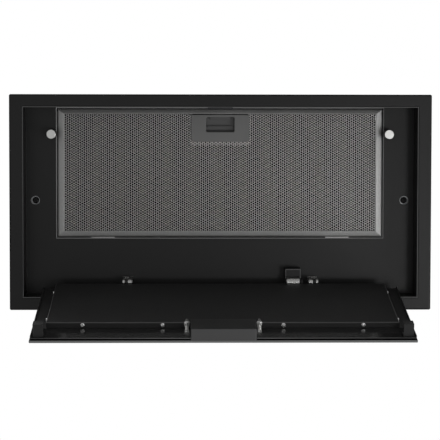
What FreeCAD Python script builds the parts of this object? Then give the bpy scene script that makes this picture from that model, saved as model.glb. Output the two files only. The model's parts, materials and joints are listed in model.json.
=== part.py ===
import FreeCAD, Part
import math
import os
import re
import Sketcher

# Range hood insert, in millimetres.
# +Z is up as installed, -Y is the cook's side, +X is to the cook's right.
# The origin is the centre of the cabinet cut-out, in the plane where the flange meets the cabinet.
# The suction panel hangs open on its rear hinge; every size below can be changed by itself.

Vector = FreeCAD.Vector
Turn = FreeCAD.Rotation
RIGHT = Vector(1, 0, 0)
REAR = Vector(0, 1, 0)
UP = Vector(0, 0, 1)

SIZES = {
    # trim frame and recess
    "flange_x": 530.0,
    "flange_y": 271.2,
    "flange_thick": 2.0,
    "opening_x": 495.4,
    "opening_y": 238.6,
    "recess_depth": 40.0,
    "steel": 1.0,
    "fit_gap": 0.2,
    "access_x": 236.0,
    "access_radius": 5.7,
    # casing and motor housing
    "casing_height": 110.0,
    "casing_seat": 1.0,
    "housing_x": 340.0,
    "housing_y": 232.0,
    "housing_height": 158.0,
    "housing_foot": 12.0,
    "top_thick": 1.2,
    # outlet collar and flaps
    "outlet_y": 31.0,
    "collar_radius": 74.5,
    "collar_wall": 1.5,
    "collar_height": 45.0,
    "collar_rim": 10.5,
    "collar_rim_thick": 1.6,
    "ledge_lift": 4.8,
    "ledge_width": 3.5,
    "ledge_thick": 2.0,
    "flap_gap": 0.3,
    "flap_thick": 1.2,
    "flap_side_gap": 1.0,
    "flap_split": 4.0,
    "flap_knuckle_radius": 2.6,
    "flap_knuckle_width": 10.0,
    "flap_pin_radius": 1.5,
    "front_knuckle_x": 52.0,
    "rear_knuckle_x": 38.0,
    # blower
    "blower_y": -30.0,
    "blower_drop": 108.0,
    "scroll_start": 70.0,
    "scroll_step": 12.0,
    "scroll_half_width": 56.0,
    "scroll_flange_x": 160.0,
    "scroll_flange_y": 152.0,
    "inlet_radius": 46.0,
    "inlet_lip": 4.0,
    "impeller_radius": 56.0,
    "blade_depth": 6.0,
    "blade_thick": 0.8,
    "impeller_half_width": 48.0,
    "impeller_ring": 2.0,
    "impeller_hub_radius": 10.0,
    "impeller_hub_length": 13.0,
    "blade_count": 36,
    "shaft_radius": 4.0,
    "shaft_length": 50.0,
    "shaft_depth": 24.0,
    "running_gap": 0.05,
    "nut_radius": 6.5,
    "nut_height": 5.0,
    "motor_radius": 36.0,
    "motor_length": 62.0,
    "motor_nose_radius": 12.0,
    "motor_nose_length": 4.0,
    "motor_corner": 8.0,
    "motor_end_x": -72.0,
    "bracket_wall": 3.0,
    "bracket_length": 10.0,
    "arm_width": 12.0,
    "arm_thick": 2.0,
    "bush_radius": 5.0,
    "bush_height": 5.0,
    "bush_circle": 57.0,
    # electrics
    "power_x": 84.0,
    "power_y": 50.0,
    "power_z": 72.0,
    "power_low_x": 82.0,
    "power_low_y": 62.0,
    "power_drop": 6.0,
    "power_wall": 2.0,
    "power_cover": 2.0,
    "board_thick": 1.6,
    "board_margin": 5.0,
    "standoff_height": 4.0,
    "standoff_radius": 2.5,
    "terminal_width": 26.0,
    "terminal_depth": 12.0,
    "terminal_height": 15.0,
    "capacitor_radius": 12.0,
    "capacitor_height": 48.0,
    "gland_x": 140.0,
    "gland_y": 87.0,
    "gland_bore": 4.0,
    "gland_thread_radius": 7.0,
    "gland_flange_radius": 10.0,
    "gland_flange_thick": 4.5,
    "gland_dome_radius": 8.0,
    "gland_dome_height": 12.0,
    # grease filter
    "filter_x": 415.2,
    "filter_y": 164.0,
    "filter_thick": 9.0,
    "filter_gap": 0.9,
    "front_ledge": 1.4,
    "filter_side_bar": 8.3,
    "filter_front_bar": 6.5,
    "filter_rear_bar": 7.6,
    "mesh_thick": 0.8,
    "mesh_inset": 0.8,
    "collar_upturn": 8.0,
    "tab_x": 150.0,
    "tab_width": 30.0,
    "tab_reach": 7.0,
    "tab_thick": 1.2,
    "tab_lift": 1.6,
    # filter latch
    "plate_x": 74.4,
    "plate_y": 34.5,
    "plate_gap": 1.0,
    "plate_proud": 1.0,
    "plate_thick": 9.0,
    "plate_wall": 1.6,
    "plate_skin": 2.0,
    "plate_corner": 3.6,
    "plate_fit": 0.3,
    "pocket_x": 36.2,
    "pocket_y": 19.3,
    "pocket_inset": 2.8,
    "slider_x": 60.0,
    "slider_y": 20.4,
    "slider_thick": 1.6,
    "slider_lift": 3.2,
    "slider_gap": 0.5,
    "cup_wall": 1.5,
    "cup_x": 32.0,
    "cup_y": 12.4,
    "bolt_x": 26.0,
    "bolt_thick": 2.4,
    "bolt_lift": 1.2,
    "bolt_reach": 2.0,
    "bolt_gap": 0.4,
    "strike_x": 32.0,
    "strike_thick": 1.4,
    "strike_fit": 0.3,
    "spring_radius": 1.3,
    "spring_bore": 0.7,
    # magnetic catches
    "magnet_x": 214.4,
    "magnet_y": -85.0,
    "magnet_radius": 5.85,
    "magnet_thick": 3.0,
    "magnet_proud": 0.5,
    "magnet_gap": 0.3,
    "magnet_fit": 0.1,
    "post_radius": 6.4,
    # panel
    "open_angle": 100.6,
    "panel_x": 449.2,
    "panel_y": 192.4,
    "panel_setback": 5.7,
    "glass_thick": 3.0,
    "glass_bevel": 0.5,
    "bond_thick": 1.8,
    "bond_inset": 12.0,
    "bond_width": 14.0,
    "tray_inset": 1.3,
    "tray_thick": 1.0,
    "tray_rim": 2.5,
    "cover_x": 415.0,
    "cover_y": 154.0,
    "cover_setback": 6.3,
    "cover_height": 6.8,
    "cover_thick": 0.8,
    "striker_x": 12.0,
    "striker_y": 13.0,
    "striker_height": 15.4,
    "striker_thick": 1.0,
    "near_screw_inner": 71.0,
    "near_screw_outer": 165.0,
    "side_screw_rear": 35.0,
    "side_screw_front": 142.0,
    "panel_head_radius": 2.7,
    "panel_head_height": 1.6,
    "panel_shank_radius": 1.3,
    "panel_shank_length": 6.0,
    "screw_fit": 0.1,
    "screw_tab_width": 14.0,
    "screw_tab_height": 5.3,
    # touch control
    "control_x": 75.8,
    "control_y": 37.5,
    "control_height": 14.0,
    "control_wall": 1.6,
    "control_fit": 0.3,
    "control_board_inset": 3.5,
    "clip_x": 42.6,
    "clip_width": 6.3,
    "clip_thick": 0.8,
    "clip_back": 10.3,
    "clip_front": 17.7,
    # hinges
    "hinge_x": 119.1,
    "knuckle_width": 3.7,
    "knuckle_radius": 3.4,
    "hinge_pin_radius": 2.0,
    "hinge_pin_fit": 0.02,
    "ear_gap": 0.3,
    "ear_inner": 4.4,
    "ear_outer": 2.4,
    "ear_radius": 3.6,
    "hinge_foot_x": 24.0,
    "hinge_foot_y": 24.0,
    "hinge_foot_thick": 1.5,
    "pin_head_radius": 3.0,
    "pin_head_thick": 1.0,
    "leaf_width": 24.0,
    "leaf_length": 30.0,
    "leaf_thick": 1.5,
    "leaf_neck": 8.0,
    # panel cable
    "outlet_x": 92.15,
    "outlet_width": 19.3,
    "outlet_depth": 9.6,
    "outlet_setback": 6.4,
    "outlet_drop": 24.0,
    "outlet_rear_drop": 12.0,
    "outlet_wall": 0.8,
    "outlet_arm_radius": 4.1,
    "outlet_flange": 2.5,
    "sleeve_radius": 4.6,
    "sleeve_wall": 2.2,
    "sleeve_notch": 11.5,
    "cable_radius": 2.0,
    "cable_fit": 0.3,
    "cable_ear_gap": 0.5,
    "cable_ear_thick": 2.0,
    "cable_ear_radius": 4.0,
    # side clamps
    "clamp_plate": 1.5,
    "clamp_low": 5.0,
    "clamp_height": 37.5,
    "clamp_half_width": 20.0,
    "clamp_tab_half_width": 12.0,
    "clamp_tab_reach": 8.0,
    "clamp_screw_radius": 2.5,
    "clamp_head_radius": 4.2,
    "clamp_head_height": 3.0,
    "clamp_screw_end": 5.0,
    "clamp_travel": 12.0,
    "nut_block_x": 14.0,
    "nut_block_y": 14.0,
    "nut_block_z": 12.0,
    "nut_block_low": 25.0,
    "tongue_y": 11.0,
    "tongue_z": 8.0,
    "slot_gap": 0.6,
    "carrier_gap": 0.4,
    "carrier_half_width": 16.0,
    "carrier_low": 3.0,
    "wing_axis_drop": 10.0,
    "wing_axis_reach": 2.7,
    "wing_pin_radius": 1.5,
    "wing_ear_radius": 3.2,
    "wing_ear_thick": 1.5,
    "wing_ear_gap": 0.4,
    "wing_thick": 1.5,
    "wing_length": 40.0,
    "wing_angle": 15.0,
    # screws of the sheet metal
    "screw_head_radius": 3.6,
    "screw_head_height": 2.0,
    "screw_shank_radius": 1.5,
    "screw_shank_length": 6.0,
    "foot_screw_front": 80.0,
    "foot_screw_rear": 40.0,
    "rim_screw_angle": 45.0,
}

# Places that follow from the sizes, each written once.
PLACES = {
    "pan_x": "opening_x / 2 + steel",
    "pan_y": "opening_y / 2 + steel",
    "shell_x": "pan_x + fit_gap",
    "shell_y": "pan_y + fit_gap",
    "casing_x": "shell_x + steel",
    "casing_y": "shell_y + steel",
    "floor_low": "recess_depth - flange_thick",
    "floor_top": "floor_low + steel",
    "housing_top": "casing_height + housing_height",
    "blower_z": "housing_top - blower_drop",
    "power_low_z": "housing_top - power_drop - power_z",
    "collar_base": "housing_top + top_thick",
    "collar_bore": "collar_radius - collar_wall",
    "ledge_low": "collar_base + ledge_lift",
    "flap_low": "ledge_low + ledge_thick + flap_gap",
    "flap_axis_z": "flap_low + flap_thick / 2",
    "flap_radius": "collar_bore - flap_side_gap",
    "filter_front": "-opening_y / 2 + front_ledge + filter_gap",
    "filter_rear": "filter_front + filter_y",
    "filter_low": "floor_low",
    "filter_top": "filter_low + filter_thick",
    "window_front": "filter_front + filter_front_bar",
    "window_rear": "filter_rear - filter_rear_bar",
    "window_x": "filter_x / 2 - filter_side_bar",
    "plate_front": "window_front + plate_gap",
    "plate_rear": "plate_front + plate_y",
    "plate_low": "filter_low - plate_proud",
    "plate_top": "plate_low + plate_thick",
    "cavity_x": "slider_x / 2 + slider_gap",
    "cavity_front": "plate_front + plate_wall",
    "cavity_rear": "plate_rear - plate_wall",
    "cavity_low": "plate_low + plate_skin",
    "cavity_top": "plate_top - plate_wall",
    "pocket_front": "plate_front + pocket_inset",
    "slider_front": "cavity_front + slider_gap",
    "slider_rear": "slider_front + slider_y",
    "slider_low": "cavity_low + slider_lift",
    "bolt_low": "floor_top + bolt_lift",
    "striker_top": "striker_height - cover_height",
    "hinge_y": "panel_y / 2 + panel_setback",
    "hinge_z": "glass_thick + bond_thick + tray_thick + cover_height - flange_thick",
    "magnet_low": "hinge_z + striker_top + magnet_gap",
    "panel_end": "panel_setback + panel_y",
    "cover_end": "cover_setback + cover_y",
    "base_top": "-cover_height",
    "base_low": "base_top - tray_thick",
    "bond_low": "base_low - bond_thick",
    "glass_low": "bond_low - glass_thick",
    "tray_x": "panel_x / 2 - tray_inset",
    "control_start": "panel_end - control_y",
    "knuckle_near": "hinge_x - knuckle_width / 2",
    "knuckle_far": "hinge_x + knuckle_width / 2",
    "ear_near": "knuckle_near - ear_gap - ear_inner",
    "ear_far": "knuckle_far + ear_gap + ear_outer",
    "outlet_left": "outlet_x - outlet_width / 2",
    "outlet_right": "outlet_x + outlet_width / 2",
    "outlet_rear": "hinge_y - outlet_setback",
    "outlet_front": "outlet_rear - outlet_depth",
    "outlet_end": "hinge_y + outlet_arm_radius",
    "outlet_low": "floor_low - outlet_drop",
    "bracket_low": "floor_top + clamp_low",
    "bracket_top": "bracket_low + clamp_height",
    "bracket_inner": "shell_x - clamp_plate",
    "nut_low": "bracket_low + nut_block_low - clamp_plate * 2",
    "nut_top": "nut_low + nut_block_z",
    "tongue_low": "nut_low + (nut_block_z - tongue_z) / 2",
    "slot_low": "tongue_low - clamp_travel - slot_gap",
    "slot_top": "tongue_low + tongue_z + slot_gap",
    "carrier_x": "casing_x + carrier_gap",
    "carrier_face": "carrier_x + clamp_plate",
    "wing_x": "carrier_face + wing_axis_reach",
    "wing_z": "nut_top - wing_axis_drop",
    "motor_face_x": "motor_end_x + motor_length",
}

doc = FreeCAD.newDocument("RangeHoodInsert")
sheet = doc.addObject("Spreadsheet::Sheet", "Sizes")
for row, (alias, value) in enumerate(SIZES.items(), start=1):
    sheet.set(f"A{row}", alias)
    sheet.set(f"B{row}", str(value))
    sheet.setAlias(f"B{row}", alias)
doc.recompute()

gauge = doc.addObject("App::FeaturePython", "Gauge")
gauge.addProperty("App::PropertyFloat", "reading")
parts = []


def text(formula):
    """Spells a formula of size and place names the way the document reads it."""
    def spell(match):
        word = match.group(0)
        if word in PLACES:
            return f"({text(PLACES[word])})"
        if word in SIZES:
            return f"Sizes.{word}"
        return word
    return re.sub(r"[A-Za-z_][A-Za-z_0-9]*", spell, str(formula))


def number(formula):
    """The present value of a formula."""
    gauge.setExpression("reading", text(formula))
    gauge.recompute()
    return gauge.reading


def bind(item, prop, formula):
    item.setExpression(prop, text(formula))


def place(item, x="0", y="0", z="0", turn=None):
    item.Placement = FreeCAD.Placement(Vector(), turn or Turn())
    bind(item, "Placement.Base.x", x)
    bind(item, "Placement.Base.y", y)
    bind(item, "Placement.Base.z", z)
    return item


def keep(item, label):
    """Registers a finished sub-part under its own name."""
    item.Label = label
    parts.append(item)
    return item


def less(a):
    return f"-({a})"


def span(side, near, far):
    """A stretch given by its distances from the middle, on one side of it."""
    return (near, far) if side > 0 else (less(far), less(near))


def ahead(near, far):
    """A stretch of the closed panel, by distance in front of its hinge line."""
    return (less(far), less(near))


def box(name, x, y, z):
    item = doc.addObject("Part::Box", name)
    for prop, (low, high) in zip(("Length", "Width", "Height"), (x, y, z)):
        bind(item, prop, f"({high}) - ({low})")
    return place(item, x[0], y[0], z[0])


def half(a):
    return (less(f"({a}) / 2"), f"({a}) / 2")


def both(a):
    return (less(a), a)


AXES = {
    "x": Turn(REAR, 90),
    "y": Turn(RIGHT, -90),
    "z": Turn(),
}


def rod(name, axis, start, radius, length, angle=None):
    """A cylinder from its start point along +X, +Y or +Z."""
    item = doc.addObject("Part::Cylinder", name)
    bind(item, "Radius", radius)
    bind(item, "Height", length)
    if angle:
        item.Angle = angle
    return place(item, *start, turn=AXES[axis])


def fuse(name, *items):
    item = doc.addObject("Part::MultiFuse", name)
    item.Shapes = list(items)
    item.Refine = True
    return item


def cut(name, base, *tools):
    item = doc.addObject("Part::Cut", name)
    item.Base = base
    item.Tool = tools[0] if len(tools) == 1 else fuse(name + "_tools", *tools)
    return item


def group(name, *items):
    item = doc.addObject("Part::Compound", name)
    item.Links = list(items)
    return item


def hang(item):
    """Swings a panel piece from its closed place to its open one, about the hinge line."""
    item.Placement = FreeCAD.Placement(Vector(), Turn(RIGHT, SIZES["open_angle"]))
    bind(item, "Placement.Base.y", "hinge_y")
    bind(item, "Placement.Base.z", "hinge_z")
    bind(item, "Placement.Rotation.Angle", "open_angle")
    return item


def origin_plane(body, role):
    return [item for item in body.Origin.OriginFeatures if item.Role == role][0]


def sketch(body, role, loops, circles=(), lift="0"):
    """A sketch of closed outlines (lists of across, up) and circles (across, up, radius)."""
    item = body.newObject("Sketcher::SketchObject", body.Name + "_sketch")
    item.AttachmentSupport = [(origin_plane(body, role), "")]
    item.MapMode = "FlatFace"
    bind(item, "AttachmentOffset.Base.z", lift)
    for loop in loops:
        spots = [Vector(number(across), number(up), 0) for across, up in loop]
        lines = []
        for start, end in zip(spots, spots[1:] + spots[:1]):
            lines.append(item.addGeometry(Part.LineSegment(start, end), False))
        for line, after in zip(lines, lines[1:] + lines[:1]):
            item.addConstraint(Sketcher.Constraint("Coincident", line, 2, after, 1))
        for line, spot, (across, up) in zip(lines, spots, loop):
            fix(item, "DistanceX", line, 1, spot.x, across)
            fix(item, "DistanceY", line, 1, spot.y, up)
    for across, up, radius in circles:
        spot = Vector(number(across), number(up), 0)
        ring = item.addGeometry(Part.Circle(spot, UP, number(radius)), False)
        fix(item, "DistanceX", ring, 3, spot.x, across)
        fix(item, "DistanceY", ring, 3, spot.y, up)
        size = item.addConstraint(Sketcher.Constraint("Radius", ring, number(radius)))
        item.setExpression(f"Constraints[{size}]", text(radius))
    return item


def fix(item, kind, geometry, point, value, formula):
    """Holds a point at a bound distance from the sketch's origin."""
    index = item.addConstraint(Sketcher.Constraint(kind, -1, 1, geometry, point, value))
    item.setExpression(f"Constraints[{index}]", text(formula))


def new_body(name):
    return doc.addObject("PartDesign::Body", name)


def pad(body, profile, length):
    item = body.newObject("PartDesign::Pad", body.Name + "_pad")
    item.Profile = profile
    bind(item, "Length", length)
    return item


def pocket(body, profile, depth):
    item = body.newObject("PartDesign::Pocket", body.Name + "_pocket")
    item.Profile = profile
    bind(item, "Length", depth)
    return item


def rectangle(x, y):
    return [(x[0], y[0]), (x[1], y[0]), (x[1], y[1]), (x[0], y[1])]


def turned(name, role, outline, axis):
    """A body of revolution from one closed outline, about the sketch's H or V axis."""
    body = new_body(name)
    profile = sketch(body, role, [outline])
    item = body.newObject("PartDesign::Revolution", name + "_turn")
    item.Profile = profile
    item.ReferenceAxis = (profile, [axis])
    item.Angle = 360
    return body


# ---- trim frame, recess and casing ----

def make_trim_frame():
    """The flange, with a rebate round its opening that the casing's walls stand in."""
    body = new_body("TrimFrame")
    outer = rectangle(half("flange_x"), half("flange_y"))
    inner = rectangle(both("shell_x"), both("shell_y"))
    pad(body, sketch(body, "XY_Plane", [outer, inner], lift="-flange_thick"), "flange_thick")
    seat = rectangle(both("casing_x"), both("casing_y"))
    pocket(body, sketch(body, "XY_Plane", [seat]), "casing_seat")
    keep(body, "trim_frame")


def make_recess_pan():
    shell = box("PanBlock", both("pan_x"), both("pan_y"), ("-flange_thick", "floor_top"))
    hollow = box("PanHollow", half("opening_x"), half("opening_y"), ("-flange_thick - 1", "floor_low"))
    window = box(
        "PanWindow", half("filter_x + filter_gap * 2"),
        ("filter_front - filter_gap", "filter_rear + filter_gap"), ("floor_low - 1", "floor_top + 1"))
    notch = box(
        "PanStrikeNotch", half("strike_x + strike_fit * 2"),
        ("-opening_y / 2", "filter_front"), ("floor_low - 1", "floor_top + 1"))
    slot = box(
        "PanCableSlot", ("outlet_left - fit_gap", "outlet_right + fit_gap"),
        ("outlet_front - fit_gap", "outlet_end + fit_gap"), ("floor_low - 1", "floor_top + 1"))
    cuts = [hollow, window, notch, slot]
    upturns = []
    for side, word in ((-1, "Left"), (1, "Right")):
        cuts.append(rod(
            f"PanAccess{word}", "z", (f"{side} * access_x", "0", "floor_low - 1"),
            "access_radius", "steel + 2"))
        cuts.append(box(
            f"PanHingeSlot{word}", span(side, "ear_near - ear_gap", "ear_far + ear_gap"),
            ("hinge_y - ear_radius - ear_gap", "hinge_y + ear_radius + ear_gap"),
            ("floor_low - 1", "floor_top + 1")))
        edge = "filter_x / 2 + filter_gap"
        upturns.append(box(
            f"PanUpturn{word}", span(side, edge, f"{edge} + steel"),
            ("filter_front - filter_gap", "filter_rear + filter_gap"),
            ("floor_low", "floor_top + collar_upturn")))
    keep(fuse("RecessPan", cut("PanTray", shell, *cuts), *upturns), "recess_pan")


def make_casing():
    block = box("WrapBlock", both("shell_x"), both("casing_y"), ("-casing_seat", "casing_height"))
    hollow = box(
        "WrapHollow", both("casing_x"), both("shell_y"), ("-casing_seat - 1", "casing_height - steel"))
    window = box(
        "WrapWindow", half("housing_x - steel * 2"), half("housing_y - steel * 2"),
        ("0", "casing_height + 1"))
    holes = foot_screws("WrapHole", "screw_shank_radius + screw_fit", "casing_height - 10", "20")
    keep(cut("CasingWrap", block, hollow, window, *holes), "casing_wrap")
    for side, word in ((-1, "left"), (1, "right")):
        panel = box(
            f"SideSheet_{word}", span(side, "shell_x", "casing_x"), both("casing_y"),
            ("-casing_seat", "casing_height"))
        slot = box(
            f"SideSlot_{word}", span(side, "shell_x - 1", "casing_x + 1"),
            half("tongue_y + slot_gap * 2"), ("slot_low", "slot_top"))
        keep(cut(f"SidePanel_{word}", panel, slot), f"side_panel_{word}")


def foot_screws(name, radius, low, height):
    """Rods at the eight screws of the motor housing's feet."""
    rods = []
    for side in (-1, 1):
        for y in ("-foot_screw_front", "-foot_screw_rear", "foot_screw_rear", "foot_screw_front"):
            spot = (f"{side} * (housing_x + housing_foot) / 2", y, low)
            rods.append(rod(f"{name}{len(rods)}", "z", spot, radius, height))
    return rods


def rim_screws(name, radius, low, height):
    """Rods at the four screws of the collar's rim."""
    rods = []
    circle = "(collar_radius + collar_rim / 2)"
    for side_x in (-1, 1):
        for side_y in (-1, 1):
            spot = (
                f"{side_x} * {circle} * cos(rim_screw_angle)",
                f"outlet_y + {side_y} * {circle} * sin(rim_screw_angle)", low)
            rods.append(rod(f"{name}{len(rods)}", "z", spot, radius, height))
    return rods


def make_motor_housing():
    block = box("HousingBlock", half("housing_x"), half("housing_y"), ("casing_height", "housing_top"))
    foot = box(
        "HousingFoot", half("housing_x + housing_foot * 2"), half("housing_y"),
        ("casing_height", "casing_height + steel"))
    hollow = box(
        "HousingHollow", half("housing_x - steel * 2"), half("housing_y - steel * 2"),
        ("casing_height - 1", "housing_top + 1"))
    holes = foot_screws("FootHole", "screw_shank_radius + screw_fit", "casing_height - 1", "steel + 2")
    keep(cut("MotorHousing", fuse("HousingBody", block, foot), hollow, *holes), "motor_housing")

    sheet_top = box("TopSheet", half("housing_x"), half("housing_y"), ("housing_top", "collar_base"))
    outlet = rod("TopOutlet", "z", ("0", "outlet_y", "housing_top - 1"), "collar_bore", "top_thick + 2")
    entry = rod(
        "TopEntry", "z", ("gland_x", "gland_y", "housing_top - 1"),
        "gland_thread_radius + fit_gap", "top_thick + 2")
    holes = rim_screws("TopHole", "screw_shank_radius + screw_fit", "housing_top - 1", "top_thick + 2")
    keep(cut("TopPlate", sheet_top, outlet, entry, *holes), "top_plate")


def make_casing_screws():
    screws = []
    spots = (
        (foot_screws, "Foot", "casing_height + steel", "screw_shank_length"),
        (rim_screws, "Rim", "collar_base + collar_rim_thick", "collar_rim_thick + top_thick - fit_gap"),
    )
    for layout, word, seat, length in spots:
        heads = layout(word + "Head", "screw_head_radius", seat, "screw_head_height")
        shanks = layout(word + "Shank", "screw_shank_radius", f"{seat} - ({length})", length)
        for head, shank in zip(heads, shanks):
            screws.append(fuse(f"Screw_{head.Name}", head, shank))
    keep(group("CasingScrews", *screws), "casing_screws")


# ---- outlet collar and backdraught flaps ----

def make_collar():
    outline = [
        ("collar_bore", "0"),
        ("collar_radius + collar_rim", "0"),
        ("collar_radius + collar_rim", "collar_rim_thick"),
        ("collar_radius", "collar_rim_thick"),
        ("collar_radius", "collar_height"),
        ("collar_bore", "collar_height"),
        ("collar_bore", "ledge_lift + ledge_thick"),
        ("collar_bore - ledge_width", "ledge_lift + ledge_thick"),
        ("collar_bore - ledge_width", "ledge_lift"),
        ("collar_bore", "ledge_lift"),
    ]
    ring = place(turned("CollarRing", "XZ_Plane", outline, "V_Axis"), "0", "outlet_y", "collar_base")
    bore = rod(
        "CollarPinBore", "x", ("-collar_radius - 1", "outlet_y", "flap_axis_z"),
        "flap_pin_radius + running_gap", "collar_radius * 2 + 2")
    holes = rim_screws("RimHole", "screw_shank_radius + screw_fit", "collar_base - 1", "collar_rim_thick + 2")
    keep(cut("DuctCollar", ring, bore, *holes), "duct_collar")
    pin = rod(
        "PinRod", "x", ("-collar_radius + fit_gap", "outlet_y", "flap_axis_z"),
        "flap_pin_radius", "(collar_radius - fit_gap) * 2")
    keep(group("DamperPin", pin), "damper_pin")


def make_flap(side, word, knuckle_x):
    """One half-moon flap; its two knuckles turn on the pin."""
    disc = rod(f"FlapDisc_{word}", "z", ("0", "outlet_y", "flap_low"), "flap_radius", "flap_thick")
    far = "flap_radius + 1"
    if side > 0:
        waste_y = (f"outlet_y - ({far})", "outlet_y + flap_split")
        lug_y = ("outlet_y", "outlet_y + flap_split + 1")
    else:
        waste_y = ("outlet_y - flap_split", f"outlet_y + {far}")
        lug_y = ("outlet_y - flap_split - 1", "outlet_y")
    waste = box(f"FlapWaste_{word}", both(far), waste_y, ("flap_low - 1", "flap_low + flap_thick + 1"))
    pieces = [cut(f"FlapMoon_{word}", disc, waste)]
    for end in (-1, 1):
        low, high = span(end, f"{knuckle_x} - flap_knuckle_width / 2", f"{knuckle_x} + flap_knuckle_width / 2")
        pieces.append(box(f"FlapLug_{word}{end + 1}", (low, high), lug_y, ("flap_low", "flap_low + flap_thick")))
        pieces.append(rod(
            f"FlapKnuckle_{word}{end + 1}", "x", (low, "outlet_y", "flap_axis_z"),
            "flap_knuckle_radius", "flap_knuckle_width"))
    bore = rod(
        f"FlapBore_{word}", "x", (less(far), "outlet_y", "flap_axis_z"),
        "flap_pin_radius + running_gap", f"({far}) * 2")
    keep(cut(f"Flap_{word}", fuse(f"FlapBody_{word}", *pieces), bore), f"damper_flap_{word}")


# ---- blower ----

def scroll_outline(grow):
    """The scroll's inner outline in the YZ plane, moved outwards by grow.

    Four quarter arcs step round a small square, so that the flow passage widens towards the
    outlet; the passage ends at the tongue, above the impeller's rear quarter.
    """
    step = number("scroll_step")
    y = number("blower_y") - step / 2
    z = number("blower_z") - step / 2
    top = number("housing_top")
    radius = number("scroll_start")
    tongue_y = y + (radius - step) * math.cos(math.radians(60)) - grow

    def arc(centre_y, centre_z, reach, start, end):
        points = []
        for angle in (start, (start + end) / 2, end):
            turn = math.radians(angle)
            points.append(Vector(0, centre_y + reach * math.cos(turn), centre_z + reach * math.sin(turn)))
        return Part.Arc(*points).toShape(), points[0], points[2]

    first = radius - step + grow
    tongue_angle = math.degrees(math.acos((tongue_y - y) / first))
    steps = (
        (y, z + step, first, tongue_angle, 90),
        (y, z, radius + grow, 90, 180),
        (y + step, z, radius + step + grow, 180, 270),
        (y + step, z + step, radius + step * 2 + grow, 270, 360),
    )
    edges = []
    ends = []
    for centre_y, centre_z, reach, start, end in steps:
        edge, begin, finish = arc(centre_y, centre_z, reach, start, end)
        edges.append(edge)
        ends.append((begin, finish))
    tongue = ends[0][0]
    rise = ends[-1][1]
    outer_top = Vector(0, rise.y, top)
    inner_top = Vector(0, tongue.y, top)
    edges.append(Part.makeLine(rise, outer_top))
    edges.append(Part.makeLine(outer_top, inner_top))
    edges.append(Part.makeLine(inner_top, tongue))
    return Part.Face(Part.Wire(edges))


def scripted(name, shape):
    item = doc.addObject("Part::Feature", name)
    item.Shape = shape
    return item


def make_scroll():
    wall = number("steel")
    reach = number("scroll_half_width")
    inner = scroll_outline(0)
    outer = scroll_outline(wall)
    band = outer.cut(inner).extrude(Vector(reach * 2, 0, 0))
    band.translate(Vector(-reach, 0, 0))
    flange = box(
        "ScrollFlangeSheet", half("scroll_flange_x"),
        ("outlet_y - scroll_flange_y / 2", "outlet_y + scroll_flange_y / 2"),
        ("housing_top - steel", "housing_top"))
    through = inner.extrude(Vector(reach * 2, 0, 0))
    through.translate(Vector(-reach, 0, 0))
    ends = scripted("ScrollPassage", through)
    sides = outer.extrude(Vector((reach + wall) * 2, 0, 0))
    sides.translate(Vector(-reach - wall, 0, 0))
    flange_open = cut("ScrollFlange", flange, scripted("ScrollSpace", sides))
    keep(fuse("ScrollWrap", cut("ScrollBand", scripted("ScrollStrip", band), ends), flange_open), "scroll_wrap")
    for side, word in ((-1, "left"), (1, "right")):
        plate = outer.extrude(Vector(side * wall, 0, 0))
        plate.translate(Vector(side * reach, 0, 0))
        low, length = ("-scroll_half_width - steel - inlet_lip", "steel + inlet_lip")
        if side > 0:
            low = "scroll_half_width"
        lip = rod(f"InletLip_{word}", "x", (low, "blower_y", "blower_z"), "inlet_radius + steel", length)
        hole = rod(
            f"InletHole_{word}", "x", (f"{low} - 1", "blower_y", "blower_z"),
            "inlet_radius", f"{length} + 2")
        body = fuse(f"ScrollSideBody_{word}", scripted(f"ScrollSheet_{word}", plate), lip)
        keep(cut(f"ScrollSide_{word}", body, hole), f"scroll_side_{word}")


def make_impeller():
    body = new_body("Impeller")
    reach = "impeller_half_width"
    rim = "impeller_radius"
    inside = "impeller_radius - blade_depth"
    for lift in (less(reach), f"{reach} - impeller_ring"):
        ring = sketch(body, "YZ_Plane", [], [("0", "0", rim), ("0", "0", inside)], lift)
        pad(body, ring, "impeller_ring")
    disc = sketch(body, "YZ_Plane", [], [("0", "0", rim), ("0", "0", "shaft_radius")], "impeller_ring / 2")
    pad(body, disc, "impeller_ring")
    hub = sketch(
        body, "YZ_Plane", [], [("0", "0", "impeller_hub_radius"), ("0", "0", "shaft_radius")],
        "impeller_ring / 2")
    pad(body, hub, "impeller_hub_length")
    outline = rectangle(("impeller_radius - blade_depth + 0.2", "impeller_radius - 0.3"), half("blade_thick"))
    blade = pad(body, sketch(body, "YZ_Plane", [outline], lift=less(reach)), f"{reach} * 2")
    ring_of_blades = body.newObject("PartDesign::PolarPattern", "Impeller_blades")
    ring_of_blades.Originals = [blade]
    ring_of_blades.Axis = (origin_plane(body, "X_Axis"), [""])
    ring_of_blades.Angle = 360
    bind(ring_of_blades, "Occurrences", "blade_count")
    body.Tip = ring_of_blades
    keep(place(body, "0", "blower_y", "blower_z"), "impeller")


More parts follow.
